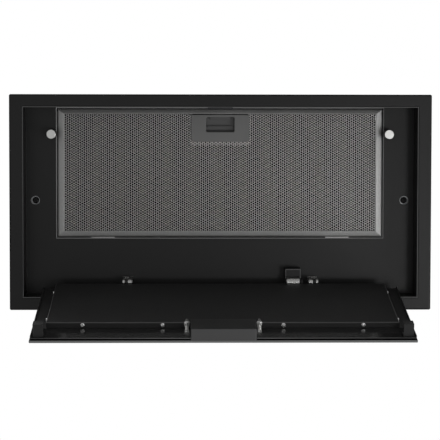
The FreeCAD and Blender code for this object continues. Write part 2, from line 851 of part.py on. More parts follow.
def make_motor():
    shaft = rod(
        "ShaftRod", "x", ("motor_face_x - shaft_depth", "blower_y", "blower_z"),
        "shaft_radius", "shaft_length")
    keep(group("MotorShaft", shaft), "motor_shaft")
    seat = "impeller_ring / 2 + impeller_hub_length"
    nut = rod("NutBlank", "x", (seat, "blower_y", "blower_z"), "nut_radius", "nut_height")
    bore = rod("NutBore", "x", (f"{seat} - 1", "blower_y", "blower_z"), "shaft_radius", "nut_height + 2")
    keep(cut("ImpellerNut", nut, bore), "impeller_nut")

    outline = [
        ("0", "0"),
        ("0", "motor_radius - motor_corner"),
        ("motor_corner", "motor_radius"),
        ("motor_length - motor_corner", "motor_radius"),
        ("motor_length", "motor_radius - motor_corner"),
        ("motor_length", "motor_nose_radius"),
        ("motor_length + motor_nose_length", "motor_nose_radius"),
        ("motor_length + motor_nose_length", "shaft_radius + running_gap"),
        ("motor_length - shaft_depth - running_gap", "shaft_radius + running_gap"),
        ("motor_length - shaft_depth - running_gap", "0"),
    ]
    case = turned("MotorBody", "XZ_Plane", outline, "H_Axis")
    keep(place(case, "motor_end_x", "blower_y", "blower_z"), "motor_body")


def make_motor_bracket():
    arm_x = "-scroll_half_width - steel - bush_height"
    hoop = rod(
        "BracketHoop", "x", (f"{arm_x} - arm_thick", "blower_y", "blower_z"),
        "motor_radius + fit_gap + bracket_wall", "bracket_length")
    arms = [hoop]
    bushes = []
    for count in range(3):
        angle = 90 + count * 120
        turn = Turn(RIGHT, angle)
        arm = box(
            f"BracketArm{count}", (f"-arm_thick", "0"), half("arm_width"),
            ("motor_radius + fit_gap + 1", "bush_circle + bush_radius"))
        swung = group(f"BracketLimb{count}", arm)
        arms.append(place(swung, arm_x, "blower_y", "blower_z", turn=turn))
        bush = rod(f"Bush{count}", "x", ("0", "0", "bush_circle"), "bush_radius", "bush_height")
        bushes.append(place(group(f"BushSpot{count}", bush), arm_x, "blower_y", "blower_z", turn=turn))
    bore = rod(
        "BracketBore", "x", (f"{arm_x} - arm_thick - 1", "blower_y", "blower_z"),
        "motor_radius + fit_gap", "bracket_length + 2")
    keep(cut("MotorBracket", fuse("BracketBody", *arms), bore), "motor_bracket")
    keep(group("MotorBushes", *bushes), "motor_bushes")


# ---- electrics ----

def make_electrics():
    x = ("power_low_x", "power_low_x + power_x")
    y = ("power_low_y", "power_low_y + power_y")
    z = ("power_low_z", "power_low_z + power_z")
    wall = "power_wall"
    shell = box("PowerShell", x, y, z)
    hollow = box(
        "PowerHollow", (f"{x[0]} - 1", f"{x[1]} - {wall}"), (f"{y[0]} + {wall}", f"{y[1]} - {wall}"),
        (f"{z[0]} + {wall}", f"{z[1]} - {wall}"))
    entry = rod(
        "PowerEntry", "z", ("gland_x", "gland_y", f"{z[1]} - 5"), "gland_thread_radius + fit_gap", "10")
    exit_hole = rod(
        "PowerExit", "z", (f"{x[0]} + 13", f"{y[0]} + 30", f"{z[0]} - 1"),
        "cable_radius + cable_fit", f"{wall} + 2")
    board_face = f"{x[1]} - {wall} - standoff_height"
    legs = []
    for side_y in (f"{y[0]} + {wall} + board_margin + 4", f"{y[1]} - {wall} - board_margin - 4"):
        for side_z in (f"{z[0]} + {wall} + board_margin + 4", f"{z[1]} - {wall} - board_margin - 4"):
            legs.append(rod(
                f"Standoff{len(legs)}", "x", (board_face, side_y, side_z),
                "standoff_radius", "standoff_height + power_wall / 2"))
    keep(fuse("PowerBox", cut("PowerCase", shell, hollow, entry, exit_hole), *legs), "power_box")
    lid = box("PowerLid", (f"{x[0]} - power_cover", x[0]), y, z)
    keep(group("PowerBoxCover", lid), "power_box_cover")
    board = box(
        "BoardSheet", (f"{board_face} - board_thick", board_face),
        (f"{y[0]} + {wall} + board_margin", f"{y[1]} - {wall} - board_margin"),
        (f"{z[0]} + {wall} + board_margin", f"{z[1]} - {wall} - board_margin"))
    keep(group("PowerBoard", board), "power_board")
    face = f"{board_face} - board_thick"
    block = box(
        "TerminalBlank", (f"{face} - terminal_depth", face),
        (f"{y[0]} + {wall} + board_margin + 2", f"{y[0]} + {wall} + board_margin + 2 + terminal_width"),
        (f"{z[1]} - {wall} - board_margin - terminal_height", f"{z[1]} - {wall} - board_margin"))
    keep(group("TerminalBlock", block), "terminal_block")
    outline = [
        ("0", "0"),
        ("capacitor_radius", "0"),
        ("capacitor_radius", "capacitor_height - 2"),
        ("capacitor_radius - 2", "capacitor_height"),
        ("0", "capacitor_height"),
    ]
    can = turned("Capacitor", "XZ_Plane", outline, "V_Axis")
    place(can, f"{face} - capacitor_radius - 20", f"{y[0]} + {wall} + capacitor_radius + 1", f"{z[0]} + {wall}")
    keep(can, "capacitor")

    low = f"({z[1]} - {wall} - 2 - collar_base)"
    outline = [
        ("gland_bore", low),
        ("gland_thread_radius", low),
        ("gland_thread_radius", "0"),
        ("gland_flange_radius", "0"),
        ("gland_flange_radius", "gland_flange_thick"),
        ("gland_dome_radius", "gland_flange_thick"),
        ("gland_dome_radius", "gland_flange_thick + gland_dome_height - 3"),
        ("gland_dome_radius - 2", "gland_flange_thick + gland_dome_height"),
        ("gland_bore", "gland_flange_thick + gland_dome_height"),
    ]
    gland = turned("CableGland", "XZ_Plane", outline, "V_Axis")
    keep(place(gland, "gland_x", "gland_y", "collar_base"), "cable_gland")


# ---- grease filter and its latch ----

def make_filter():
    outer = box(
        "FilterBlock", half("filter_x"), ("filter_front", "filter_rear"), ("filter_low", "filter_top"))
    inner = box(
        "FilterWindow", both("window_x"), ("window_front", "window_rear"),
        ("filter_low - 1", "filter_top + 1"))
    bolt_way = box(
        "FilterBoltWay", half("bolt_x + bolt_gap * 2"), ("filter_front - 1", "window_front + 1"),
        ("bolt_low - bolt_gap", "bolt_low + bolt_thick + bolt_gap"))
    tabs = []
    for side in (-1, 1):
        middle = f"{side} * tab_x"
        tabs.append(box(
            f"FilterTab{side + 1}", (f"{middle} - tab_width / 2", f"{middle} + tab_width / 2"),
            ("filter_rear - 1", "filter_rear + tab_reach"),
            ("filter_low + tab_lift", "filter_low + tab_lift + tab_thick")))
    keep(fuse("FilterFrame", cut("FilterRing", outer, inner, bolt_way), *tabs), "filter_frame")
    layers = (
        ("front", "filter_low + mesh_inset"),
        ("back", "filter_top - mesh_inset - mesh_thick"),
    )
    for word, low in layers:
        layer = box(
            f"Mesh_{word}", both("window_x"), ("window_front", "window_rear"), (low, f"{low} + mesh_thick"))
        notch = box(
            f"MeshNotch_{word}", half("plate_x + plate_fit * 2"),
            ("window_front - 1", "plate_rear + plate_fit"), (f"{low} - 1", f"{low} + mesh_thick + 1"))
        keep(cut(f"FilterMesh_{word}", layer, notch), f"filter_mesh_{word}")


def make_latch():
    z = ("plate_low", "plate_top")
    slabs = [
        box("PlateMain", half("plate_x"), ("plate_front", "plate_rear - plate_corner"), z),
        box("PlateEdge", half("plate_x - plate_corner * 2"), ("plate_front", "plate_rear"), z),
    ]
    for side in (-1, 1):
        slabs.append(rod(
            f"PlateCorner{side + 1}", "z",
            (f"{side} * (plate_x / 2 - plate_corner)", "plate_rear - plate_corner", "plate_low"),
            "plate_corner", "plate_thick"))
    cavity = box(
        "PlateCavity", both("cavity_x"), ("cavity_front", "cavity_rear"), ("cavity_low", "cavity_top"))
    window = box(
        "PlatePocket", half("pocket_x"), ("pocket_front", "pocket_front + pocket_y"),
        ("plate_low - 1", "cavity_low + 1"))
    bolt_way = box(
        "PlateBoltWay", half("bolt_x + bolt_gap * 2"), ("plate_front - 1", "cavity_front + 1"),
        ("bolt_low - bolt_gap", "bolt_low + bolt_thick + bolt_gap"))
    keep(cut("LatchPlate", fuse("PlateBody", *slabs), cavity, window, bolt_way), "latch_plate")

    base = box(
        "SliderBase", half("slider_x"), ("slider_front", "slider_rear"),
        ("slider_low", "slider_low + slider_thick"))
    bolt = box(
        "SliderBolt", half("bolt_x"), ("filter_front - bolt_reach", "slider_front + 4"),
        ("bolt_low", "bolt_low + bolt_thick"))
    grip_front = "slider_front + cup_y"
    grip = box(
        "SliderGrip", half("cup_x"), (grip_front, f"{grip_front} + cup_wall"),
        ("cavity_low + bolt_gap / 2", "slider_low"))
    keep(fuse("LatchSlider", base, bolt, grip), "latch_slider")

    middle = "slider_low + slider_thick / 2"
    coil = rod("SpringCoil", "y", ("0", "slider_rear", middle), "spring_radius", "cavity_rear - (slider_rear)")
    eye = rod(
        "SpringEye", "y", ("0", "slider_rear - 1", middle), "spring_bore", "cavity_rear - (slider_rear) + 2")
    keep(cut("LatchSpring", coil, eye), "latch_spring")
    strip = box(
        "StrikeStrip", half("strike_x"),
        ("-opening_y / 2 + strike_fit / 3", "filter_front - strike_fit"),
        ("floor_low + strike_fit", "floor_low + strike_fit + strike_thick"))
    keep(group("StrikeSpring", strip), "strike_spring")


# ---- magnetic catches ----

def make_catches():
    posts = []
    discs = []
    height = "(floor_low - magnet_low - magnet_proud)"
    outline = [
        ("0", f"-{height} + magnet_thick - magnet_proud"),
        ("magnet_radius + magnet_fit", f"-{height} + magnet_thick - magnet_proud"),
        ("magnet_radius + magnet_fit", f"-{height}"),
        ("post_radius", f"-{height}"),
        ("post_radius", "0"),
        ("0", "0"),
    ]
    for side, word in ((-1, "Left"), (1, "Right")):
        post = turned(f"Post{word}", "XZ_Plane", outline, "V_Axis")
        posts.append(place(post, f"{side} * magnet_x", "magnet_y", "floor_low"))
        discs.append(rod(
            f"Magnet{word}", "z", (f"{side} * magnet_x", "magnet_y", "magnet_low"),
            "magnet_radius", "magnet_thick"))
    keep(group("MagnetPosts", *posts), "magnet_posts")
    keep(group("MagnetDiscs", *discs), "magnet_discs")


# ---- panel, drawn closed about the hinge line and then swung open ----

def screw_spots():
    """The eight cover screws: a name, a start on the cover's wall, and the way the head faces."""
    wall = "cover_x / 2"
    level = "-cover_height / 2"
    spots = []
    for side, word in ((-1, "Left"), (1, "Right")):
        for name, x in (("Inner", "near_screw_inner"), ("Outer", "near_screw_outer")):
            spots.append((f"Near{name}{word}", "front", side, f"{side} * {x}", less("cover_end"), level))
        for name, reach in (("Rear", "side_screw_rear"), ("Front", "side_screw_front")):
            spots.append((f"Side{name}{word}", "side", side, f"{side} * {wall}", less(reach), level))
    return spots


def screw_rod(name, spot, radius, inside, outside):
    """A rod through the cover's wall, from inside it to outside it."""
    _, face, side, x, y, z = spot
    length = f"({inside}) + ({outside})"
    if face == "front":
        return rod(name, "y", (x, f"{y} - ({outside})", z), radius, length)
    if side > 0:
        return rod(name, "x", (f"{x} - ({inside})", y, z), radius, length)
    return rod(name, "x", (f"{x} - ({outside})", y, z), radius, length)


def control_space(name, low, high):
    """The room that the touch control takes at the panel's free edge."""
    return box(
        name, half("control_x + control_fit * 2"), ahead("control_start - control_fit", "panel_end + 1"),
        (low, high))


def make_glass():
    body = new_body("PanelGlass")
    outline = rectangle(half("panel_x"), ahead("panel_setback", "panel_end"))
    pad(body, sketch(body, "XY_Plane", [outline], lift="glass_low"), "glass_thick")
    doc.recompute()
    bevel = body.newObject("PartDesign::Chamfer", "PanelGlass_bevel")
    lowest = min(edge.BoundBox.ZMin for edge in body.Shape.Edges)
    rim = []
    for index, edge in enumerate(body.Shape.Edges, start=1):
        if edge.BoundBox.ZMax < lowest + 0.01:
            rim.append(f"Edge{index}")
    bevel.Base = (body.Group[-2], rim)
    bind(bevel, "Size", "glass_bevel")
    body.Tip = bevel
    keep(hang(body), "panel_glass")

    y = ("panel_setback + bond_inset", "panel_end - bond_inset")
    sheet_x = "panel_x / 2 - bond_inset"
    outer = box("BondSheet", both(sheet_x), ahead(*y), ("bond_low", "base_low"))
    inner = box(
        "BondWindow", both(f"{sheet_x} - bond_width"),
        ahead(f"{y[0]} + bond_width", f"{y[1]} - bond_width"), ("bond_low - 1", "base_low + 1"))
    room = control_space("BondRoom", "bond_low - 1", "base_low + 1")
    keep(hang(cut("GlassBond", outer, inner, room)), "glass_bond")


def make_tray():
    end = "panel_end - tray_inset / 2"
    base = box("TrayBase", both("tray_x"), ahead("panel_setback", end), ("base_low", "base_top"))
    pieces = [base]
    for side in (-1, 1):
        pieces.append(box(
            f"TrayRim{side + 1}", span(side, "tray_x - tray_thick", "tray_x"),
            ahead("panel_setback", end), ("base_low", "base_top + tray_rim")))
    for spot in screw_spots():
        name, face, side, x, y, _ = spot
        height = ("base_low", "base_top + screw_tab_height")
        if face == "front":
            across = (f"{x} - screw_tab_width / 2", f"{x} + screw_tab_width / 2")
            along = ahead("cover_end - cover_thick - tray_thick", "cover_end - cover_thick")
        else:
            across = span(side, "cover_x / 2 - cover_thick - tray_thick", "cover_x / 2 - cover_thick")
            along = (f"{y} - screw_tab_width / 2", f"{y} + screw_tab_width / 2")
        pieces.append(box(f"TrayTab{name}", across, along, height))
    ear_x = "outlet_right + cable_ear_gap"
    pieces.append(box(
        "TrayCableEar", (ear_x, f"{ear_x} + cable_ear_thick"),
        ahead("-cable_ear_radius", "cover_setback - tray_thick / 2"), ("base_low", "0")))
    pieces.append(rod("TrayCableEye", "x", (ear_x, "0", "0"), "cable_ear_radius", "cable_ear_thick"))
    holes = [rod(
        "TrayCableHole", "x", (f"{ear_x} - 1", "0", "0"), "cable_radius + cable_fit", "cable_ear_thick + 2")]
    for spot in screw_spots():
        holes.append(screw_rod(
            f"TrayHole{spot[0]}", spot, "panel_shank_radius + screw_fit / 2", "panel_shank_length + 1", "0"))
    holes.append(control_space("TrayRoom", "base_low - 1", "base_top + 1"))
    keep(hang(cut("PanelTray", fuse("TrayBody", *pieces), *holes)), "panel_tray")


def make_cover():
    block = box(
        "CoverBlock", half("cover_x"), ahead("cover_setback", "cover_end"), ("base_top", "0"))
    hollow = box(
        "CoverHollow", half("cover_x - cover_thick * 2"),
        ahead("cover_setback + cover_thick", "cover_end - cover_thick"), ("base_top - 1", "-cover_thick"))
    cuts = [hollow]
    for spot in screw_spots():
        cuts.append(screw_rod(
            f"CoverHole{spot[0]}", spot, "panel_shank_radius + screw_fit", "cover_thick + 0.1", "1"))
    for side, word in ((-1, "Left"), (1, "Right")):
        cuts.append(box(
            f"CoverNotch{word}", span(side, "knuckle_near - ear_gap", "knuckle_far + ear_gap"),
            ahead("cover_setback - 1", "cover_setback + cover_thick + 1"),
            ("base_top - 1", "base_top + leaf_thick + ear_gap")))
    keep(hang(cut("PanelCover", block, *cuts)), "panel_cover")


def make_panel_screws():
    screws = []
    for spot in screw_spots():
        head = screw_rod(f"Head{spot[0]}", spot, "panel_head_radius", "0", "panel_head_height")
        shank = screw_rod(f"Shank{spot[0]}", spot, "panel_shank_radius", "panel_shank_length", "0.1")
        screws.append(fuse(f"Screw{spot[0]}", head, shank))
    keep(hang(group("PanelScrews", *screws)), "panel_screws")


def make_strikers():
    strikers = []
    reach = "(hinge_y - magnet_y)"
    along = ahead(f"{reach} - striker_y / 2", f"{reach} + striker_y / 2")
    middle = "magnet_x"
    near = f"{middle} - striker_x / 2"
    far = f"{middle} + striker_x / 2"
    for side, word in ((-1, "Left"), (1, "Right")):
        plate = box(
            f"StrikerTop{word}", span(side, near, far), along,
            ("striker_top - striker_thick", "striker_top"))
        wall = box(
            f"StrikerWall{word}", span(side, f"{far} - striker_thick", far), along,
            ("base_top", "striker_top"))
        foot = box(
            f"StrikerFoot{word}", span(side, near, far), along,
            ("base_top", "base_top + striker_thick"))
        strikers.append(fuse(f"Striker{word}", plate, wall, foot))
    keep(hang(group("Strikers", *strikers)), "strikers")


def make_control():
    block = box(
        "ControlBlock", half("control_x"), ahead("control_start", "panel_end"),
        ("bond_low", "bond_low + control_height"))
    hollow = box(
        "ControlHollow", half("control_x - control_wall * 2"),
        ahead("control_start + control_wall", "panel_end - control_wall"),
        ("bond_low - 1", "bond_low + control_height - control_wall"))
    keep(hang(cut("ControlHousing", block, hollow)), "control_housing")
    board = box(
        "ControlSheet", half("control_x - control_board_inset * 2"),
        ahead("control_start + control_board_inset", "panel_end - control_board_inset"),
        ("bond_low", "bond_low + board_thick"))
    keep(hang(group("ControlBoard", board)), "control_board")
    clips = []
    for side, word in ((-1, "Left"), (1, "Right")):
        x = span(side, "clip_x - clip_width / 2", "clip_x + clip_width / 2")
        face = "cover_end + clip_thick"
        clips.append(fuse(
            f"Clip{word}",
            box(f"ClipBack{word}", x, ahead("cover_end - clip_back", face), ("0", "clip_thick")),
            box(f"ClipRiser{word}", x, ahead("cover_end", face), ("base_top", "clip_thick")),
            box(f"ClipFoot{word}", x, ahead("cover_end", "cover_end + clip_front"),
                ("base_top", "base_top + clip_thick"))))
    keep(hang(group("ControlClips", *clips)), "control_clips")


# ---- hinges ----

def make_hinges():
    pins = []
    for side, word in ((-1, "left"), (1, "right")):
        foot = box(
            f"HingeFoot_{word}", span(side, "hinge_x - hinge_foot_x / 2", "hinge_x + hinge_foot_x / 2"),
            ("hinge_y - hinge_foot_y / 2", "hinge_y + hinge_foot_y / 2"),
            ("floor_top", "floor_top + hinge_foot_thick"))
        pieces = [foot]
        for ear, near, far in (
                ("Inner", "ear_near", "ear_near + ear_inner"),
                ("Outer", "ear_far - ear_outer", "ear_far")):
            low, high = span(side, near, far)
            pieces.append(box(
                f"Hinge{ear}_{word}", (low, high), ("hinge_y - ear_radius", "hinge_y + ear_radius"),
                ("hinge_z", "floor_top + hinge_foot_thick / 2")))
            pieces.append(rod(
                f"Hinge{ear}Eye_{word}", "x", (low, "hinge_y", "hinge_z"), "ear_radius", f"({high}) - ({low})"))
        low, high = span(side, "ear_near - 1", "ear_far + 1")
        bore = rod(
            f"HingeBore_{word}", "x", (low, "hinge_y", "hinge_z"), "hinge_pin_radius + hinge_pin_fit",
            f"({high}) - ({low})")
        keep(cut(f"HingeBracket_{word}", fuse(f"HingeBody_{word}", *pieces), bore), f"hinge_bracket_{word}")

        low, high = span(side, "ear_near", "ear_far + pin_head_thick / 2")
        shank = rod(
            f"PinShank_{word}", "x", (low, "hinge_y", "hinge_z"), "hinge_pin_radius", f"({high}) - ({low})")
        low, high = span(side, "ear_near - pin_head_thick", "ear_near")
        head = rod(
            f"PinHead_{word}", "x", (low, "hinge_y", "hinge_z"), "pin_head_radius", "pin_head_thick")
        pins.append(fuse(f"HingePin_{word}", shank, head))

        knuckle_x = span(side, "knuckle_near", "knuckle_far")
        knuckle = rod(f"Knuckle_{word}", "x", (knuckle_x[0], "0", "0"), "knuckle_radius", "knuckle_width")
        web = box(
            f"LeafWeb_{word}", knuckle_x, ahead("0", "knuckle_radius"), ("base_top", "0"))
        neck = box(
            f"LeafNeck_{word}", knuckle_x, ahead("0", "leaf_neck + 1"), ("base_top", "base_top + leaf_thick"))
        wide = box(
            f"LeafPlate_{word}", span(side, "hinge_x - leaf_width / 2", "hinge_x + leaf_width / 2"),
            ahead("leaf_neck", "leaf_length"), ("base_top", "base_top + leaf_thick"))
        eye = rod(
            f"LeafBore_{word}", "x", (f"{knuckle_x[0]} - 1", "0", "0"),
            "hinge_pin_radius + running_gap", "knuckle_width + 2")
        leaf = cut(f"HingeLeaf_{word}", fuse(f"LeafBody_{word}", knuckle, web, neck, wide), eye)
        keep(hang(leaf), f"hinge_leaf_{word}")
    keep(group("HingePins", *pins), "hinge_pins")


# ---- panel cable ----

def make_cable_outlet():
    pieces = []
    cheeks = (
        ("Left", ("outlet_left", "outlet_left + outlet_wall")),
        ("Right", ("outlet_right - outlet_wall", "outlet_right")),
    )
    for word, x in cheeks:
        pieces.append(box(
            f"Cheek{word}", x, ("outlet_front", "outlet_end"), ("outlet_low", "floor_top + outlet_wall")))
        pieces.append(box(
            f"CheekArm{word}", x, ("hinge_y - outlet_arm_radius", "outlet_end"),
            ("hinge_z", "outlet_low + 1")))
        pieces.append(rod(
            f"CheekEye{word}", "x", (x[0], "hinge_y", "hinge_z"), "outlet_arm_radius", "outlet_wall"))
    width = ("outlet_left", "outlet_right")
    pieces.append(box(
        "OutletFront", width, ("outlet_front", "outlet_front + outlet_wall"),
        ("outlet_low", "floor_top + outlet_wall")))
    pieces.append(box(
        "OutletRear", width, ("outlet_rear - outlet_wall", "outlet_rear"),
        ("floor_low - outlet_rear_drop", "floor_top + outlet_wall")))
    pieces.append(box(
        "OutletFace", width, ("outlet_front", "outlet_rear"), ("outlet_low", "outlet_low + outlet_wall")))
    rim = box(
        "OutletRim", ("outlet_left - outlet_flange", "outlet_right + outlet_flange"),
        ("outlet_front - outlet_flange", "outlet_end + outlet_flange"),
        ("floor_top", "floor_top + outlet_wall"))
    rim_hole = box(
        "OutletRimHole", ("outlet_left + outlet_wall", "outlet_right - outlet_wall"),
        ("outlet_front + outlet_wall", "outlet_rear - outlet_wall"), ("floor_low", "floor_top + 5"))
    hole = rod(
        "OutletHole", "x", ("outlet_right - outlet_wall - 1", "hinge_y", "hinge_z"),
        "cable_radius + cable_fit", "outlet_wall + 2")
    pieces.append(rim)
    keep(cut("CableOutlet", fuse("OutletBody", *pieces), rim_hole, hole), "cable_outlet")

    inside = ("outlet_left + outlet_wall", "outlet_right - outlet_wall")
    tube = rod(
        "SleeveTube", "x", (inside[0], "hinge_y", "hinge_z"), "sleeve_radius",
        "outlet_width - outlet_wall * 2")
    bore = rod(
        "SleeveBore", "x", (f"{inside[0]} - 1", "hinge_y", "hinge_z"), "sleeve_radius - sleeve_wall",
        "outlet_width")
    notch = box(
        "SleeveNotch", (f"{inside[0]} - 1", f"{inside[0]} + sleeve_notch"),
        ("hinge_y - sleeve_radius - 1", "hinge_y + sleeve_radius / 2"),
        ("hinge_z - sleeve_radius / 4", "hinge_z + sleeve_radius + 1"))
    keep(cut("CableSleeve", tube, bore, notch), "cable_sleeve")


def rounded_path(points):
    """Straight runs joined by tangent arcs; each arc takes 0.45 of its shorter run."""
    edges = []
    start = points[0]
    for before, corner, after in zip(points, points[1:], points[2:]):
        come = (corner - before).normalize()
        leave = (after - corner).normalize()
        turn = come.getAngle(leave)
        back = 0.45 * min((corner - before).Length, (after - corner).Length)
        radius = back / math.tan(turn / 2)
        print(f"cable bend radius {radius:.1f} mm")
        into = corner - come * back
        out = corner + leave * back
        halfway = (leave - come).normalize()
        middle = corner + halfway * (radius / math.cos(turn / 2) - radius)
        edges.append(Part.makeLine(start, into))
        edges.append(Part.Arc(into, middle, out).toShape())
        start = out
    edges.append(Part.makeLine(start, points[-1]))
    return Part.Wire(edges)


def make_cable():
    hinge_y = number("hinge_y")
    hinge_z = number("hinge_z")
    left = number("outlet_left")
    chute_y = number("(outlet_front + outlet_rear) / 2")
    floor = number("floor_top")
    box_x = number("power_low_x + 13")
    box_y = number("power_low_y + 30")
    box_z = number("power_low_z")
    rise = box_z - floor
    points = [
        Vector(box_x, box_y, box_z + 4),
        Vector(box_x, box_y, box_z - 12),
        Vector(left + 8, chute_y - 3, floor + rise * 0.68),
        Vector(left + 2.5, chute_y + 1, floor + rise * 0.34),
        Vector(left + 6, chute_y - 1, floor + 11),
        Vector(left + 5, chute_y, floor - 12),
        Vector(left + 7, hinge_y, hinge_z),
        Vector(number("outlet_right + cable_ear_gap + cable_ear_thick"), hinge_y, hinge_z),
    ]
    path = rounded_path(points)
    radius = number("cable_radius")
    section = Part.Wire([Part.makeCircle(radius, points[0], points[1] - points[0])])
    tube = path.makePipeShell([section], True, False)
    ratio = tube.Volume / (math.pi * radius ** 2 * path.Length)
    print(f"cable length {path.Length:.1f} mm, volume ratio {ratio:.4f}")
    keep(scripted("PanelCable", tube), "panel_cable")


# ---- side clamps ----

def make_clamp(side, word):
    def across(near, far):
        return span(side, near, far)

    screw_spot = (f"{side} * access_x", "0")
    reach_in = "access_x - clamp_tab_reach"
    web = box(
        f"ClampWeb_{word}", across("bracket_inner", "shell_x"), both("clamp_half_width"),
        ("bracket_low", "bracket_top"))
    pieces = [web]
    for name, low in (("Low", "bracket_low"), ("Top", "bracket_top - clamp_plate")):
        pieces.append(box(
            f"ClampTab{name}_{word}", across(reach_in, "shell_x"), both("clamp_tab_half_width"),
            (low, f"{low} + clamp_plate")))
    slot = box(
        f"ClampSlot_{word}", across("bracket_inner - 1", "shell_x + 1"), half("tongue_y + slot_gap * 2"),
        ("slot_low", "slot_top"))
    bore = rod(
        f"ClampBore_{word}", "z", (*screw_spot, "bracket_low - 1"), "clamp_screw_radius + screw_fit",
        "clamp_height + 2")
    keep(cut(f"ClampBracket_{word}", fuse(f"ClampBody_{word}", *pieces), slot, bore), f"clamp_bracket_{word}")

    shank = rod(
        f"ClampShank_{word}", "z", (*screw_spot, "bracket_low"), "clamp_screw_radius",
        "clamp_height + clamp_screw_end")
    head = rod(
        f"ClampHead_{word}", "z", (*screw_spot, "bracket_low - clamp_head_height"), "clamp_head_radius",
        "clamp_head_height")
    screw = fuse(f"ClampScrew_{word}", shank, head)

    x = f"{side} * access_x"
    block = box(
        f"NutBlock_{word}", (f"{x} - nut_block_x / 2", f"{x} + nut_block_x / 2"), half("nut_block_y"),
        ("nut_low", "nut_top"))
    tongue = box(
        f"Tongue_{word}", across("access_x + nut_block_x / 2 - 1", "carrier_face"), half("tongue_y"),
        ("tongue_low", "tongue_low + tongue_z"))
    plate = box(
        f"CarrierPlate_{word}", across("carrier_x", "carrier_face"), both("carrier_half_width"),
        ("floor_low - carrier_low", "nut_top"))
    pieces = [block, tongue, plate]
    for end in (-1, 1):
        low, high = span(end, "carrier_half_width - wing_ear_thick", "carrier_half_width")
        pieces.append(box(
            f"WingEar_{word}{end + 1}", across("carrier_x", "wing_x"), (low, high),
            ("wing_z - wing_ear_radius", "wing_z + wing_ear_radius")))
        pieces.append(rod(
            f"WingEye_{word}{end + 1}", "y", (f"{side} * (wing_x)", low, "wing_z"), "wing_ear_radius",
            "wing_ear_thick"))
    screw_way = rod(
        f"NutBore_{word}", "z", (*screw_spot, "nut_low - 1"), "clamp_screw_radius + running_gap",
        "nut_block_z + 2")
    pin_way = rod(
        f"WingWay_{word}", "y", (f"{side} * (wing_x)", "-carrier_half_width - 1", "wing_z"),
        "wing_pin_radius + running_gap", "carrier_half_width * 2 + 2")
    carrier = cut(f"ClampCarrier_{word}", fuse(f"CarrierBody_{word}", *pieces), screw_way, pin_way)
    keep(carrier, f"clamp_carrier_{word}")

    pin = rod(
        f"WingPin_{word}", "y", ("0", "-carrier_half_width", "0"), "wing_pin_radius", "carrier_half_width * 2")
    leaf = box(
        f"WingLeaf_{word}", half("wing_thick"), both("carrier_half_width - wing_ear_thick - wing_ear_gap"),
        ("-wing_length", "0"))
    wing = fuse(f"ClampWing_{word}", pin, leaf)
    outward = Turn(Vector(0, -side, 0), SIZES["wing_angle"])
    place(wing, f"{side} * (wing_x)", "0", "wing_z", turn=outward)
    bind(wing, "Placement.Rotation.Angle", "wing_angle")
    keep(wing, f"clamp_wing_{word}")
    return screw


make_trim_frame()
make_recess_pan()
make_casing()
make_motor_housing()
make_casing_screws()
make_collar()
make_flap(-1, "front", "front_knuckle_x")
make_flap(1, "rear", "rear_knuckle_x")
make_scroll()
make_impeller()
make_motor()
make_motor_bracket()
make_electrics()
make_filter()
make_latch()
make_catches()
make_glass()
make_tray()
make_cover()
make_panel_screws()
make_strikers()
make_control()
make_hinges()
make_cable_outlet()
make_cable()
clamp_screws = [make_clamp(side, word) for side, word in ((-1, "left"), (1, "right"))]
keep(group("ClampScrews", *clamp_screws), "clamp_screws")

gauge.setExpression("reading", None)
doc.removeObject("Gauge")
doc.recompute()

for item in doc.Objects:
    if "Invalid" in item.State or "Error" in item.State:
        raise RuntimeError(f"{item.Label} did not build: {item.State}")
for item in parts:
    if item.Shape.isNull() or not item.Shape.isValid() or not item.Shape.Solids:
        raise RuntimeError(f"{item.Label} has no sound solid")

os.makedirs("parts", exist_ok=True)
for item in parts:
    item.Shape.exportStep(f"parts/{item.Label}.step")
    volume = item.Shape.Volume / 1000
    print(f"{item.Label}: {len(item.Shape.Solids)} solid(s), {volume:.2f} cm3")
print(f"{len(parts)} sub-parts")
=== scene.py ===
import json
import math

import bmesh
import bpy
import numpy as np
from mathutils import Matrix, Vector


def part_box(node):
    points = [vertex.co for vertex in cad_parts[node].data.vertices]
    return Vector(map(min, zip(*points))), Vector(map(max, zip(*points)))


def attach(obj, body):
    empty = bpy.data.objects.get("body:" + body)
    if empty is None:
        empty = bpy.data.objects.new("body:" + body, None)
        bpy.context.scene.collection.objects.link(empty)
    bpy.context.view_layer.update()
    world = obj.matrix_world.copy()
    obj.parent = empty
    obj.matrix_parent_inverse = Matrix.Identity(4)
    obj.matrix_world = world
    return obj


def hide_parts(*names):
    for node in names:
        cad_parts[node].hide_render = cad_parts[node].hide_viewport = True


# Range hood insert, seen from below with its suction panel hanging open.
# Metres, +Z up as installed, -Y the cook's side.

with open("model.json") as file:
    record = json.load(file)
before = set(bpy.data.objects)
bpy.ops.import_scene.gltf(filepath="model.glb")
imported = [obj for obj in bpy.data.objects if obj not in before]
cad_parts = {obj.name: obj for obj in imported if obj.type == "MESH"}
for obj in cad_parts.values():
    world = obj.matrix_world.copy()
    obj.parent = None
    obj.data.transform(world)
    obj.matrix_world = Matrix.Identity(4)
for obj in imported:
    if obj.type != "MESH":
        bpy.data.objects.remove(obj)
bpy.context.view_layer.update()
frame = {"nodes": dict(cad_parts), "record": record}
scene = bpy.context.scene

MM = 0.001
WELD = 0.000005         # corners closer than this are one corner
NEAR = 0.0003           # a corner this close to a measure lies on it
SHARP = 0.7             # an edge with a turn above this, in radians, can be rounded
NOISE = (0.3, 0.7)      # noise mostly lies between these


# ---- camera, floor and light ----

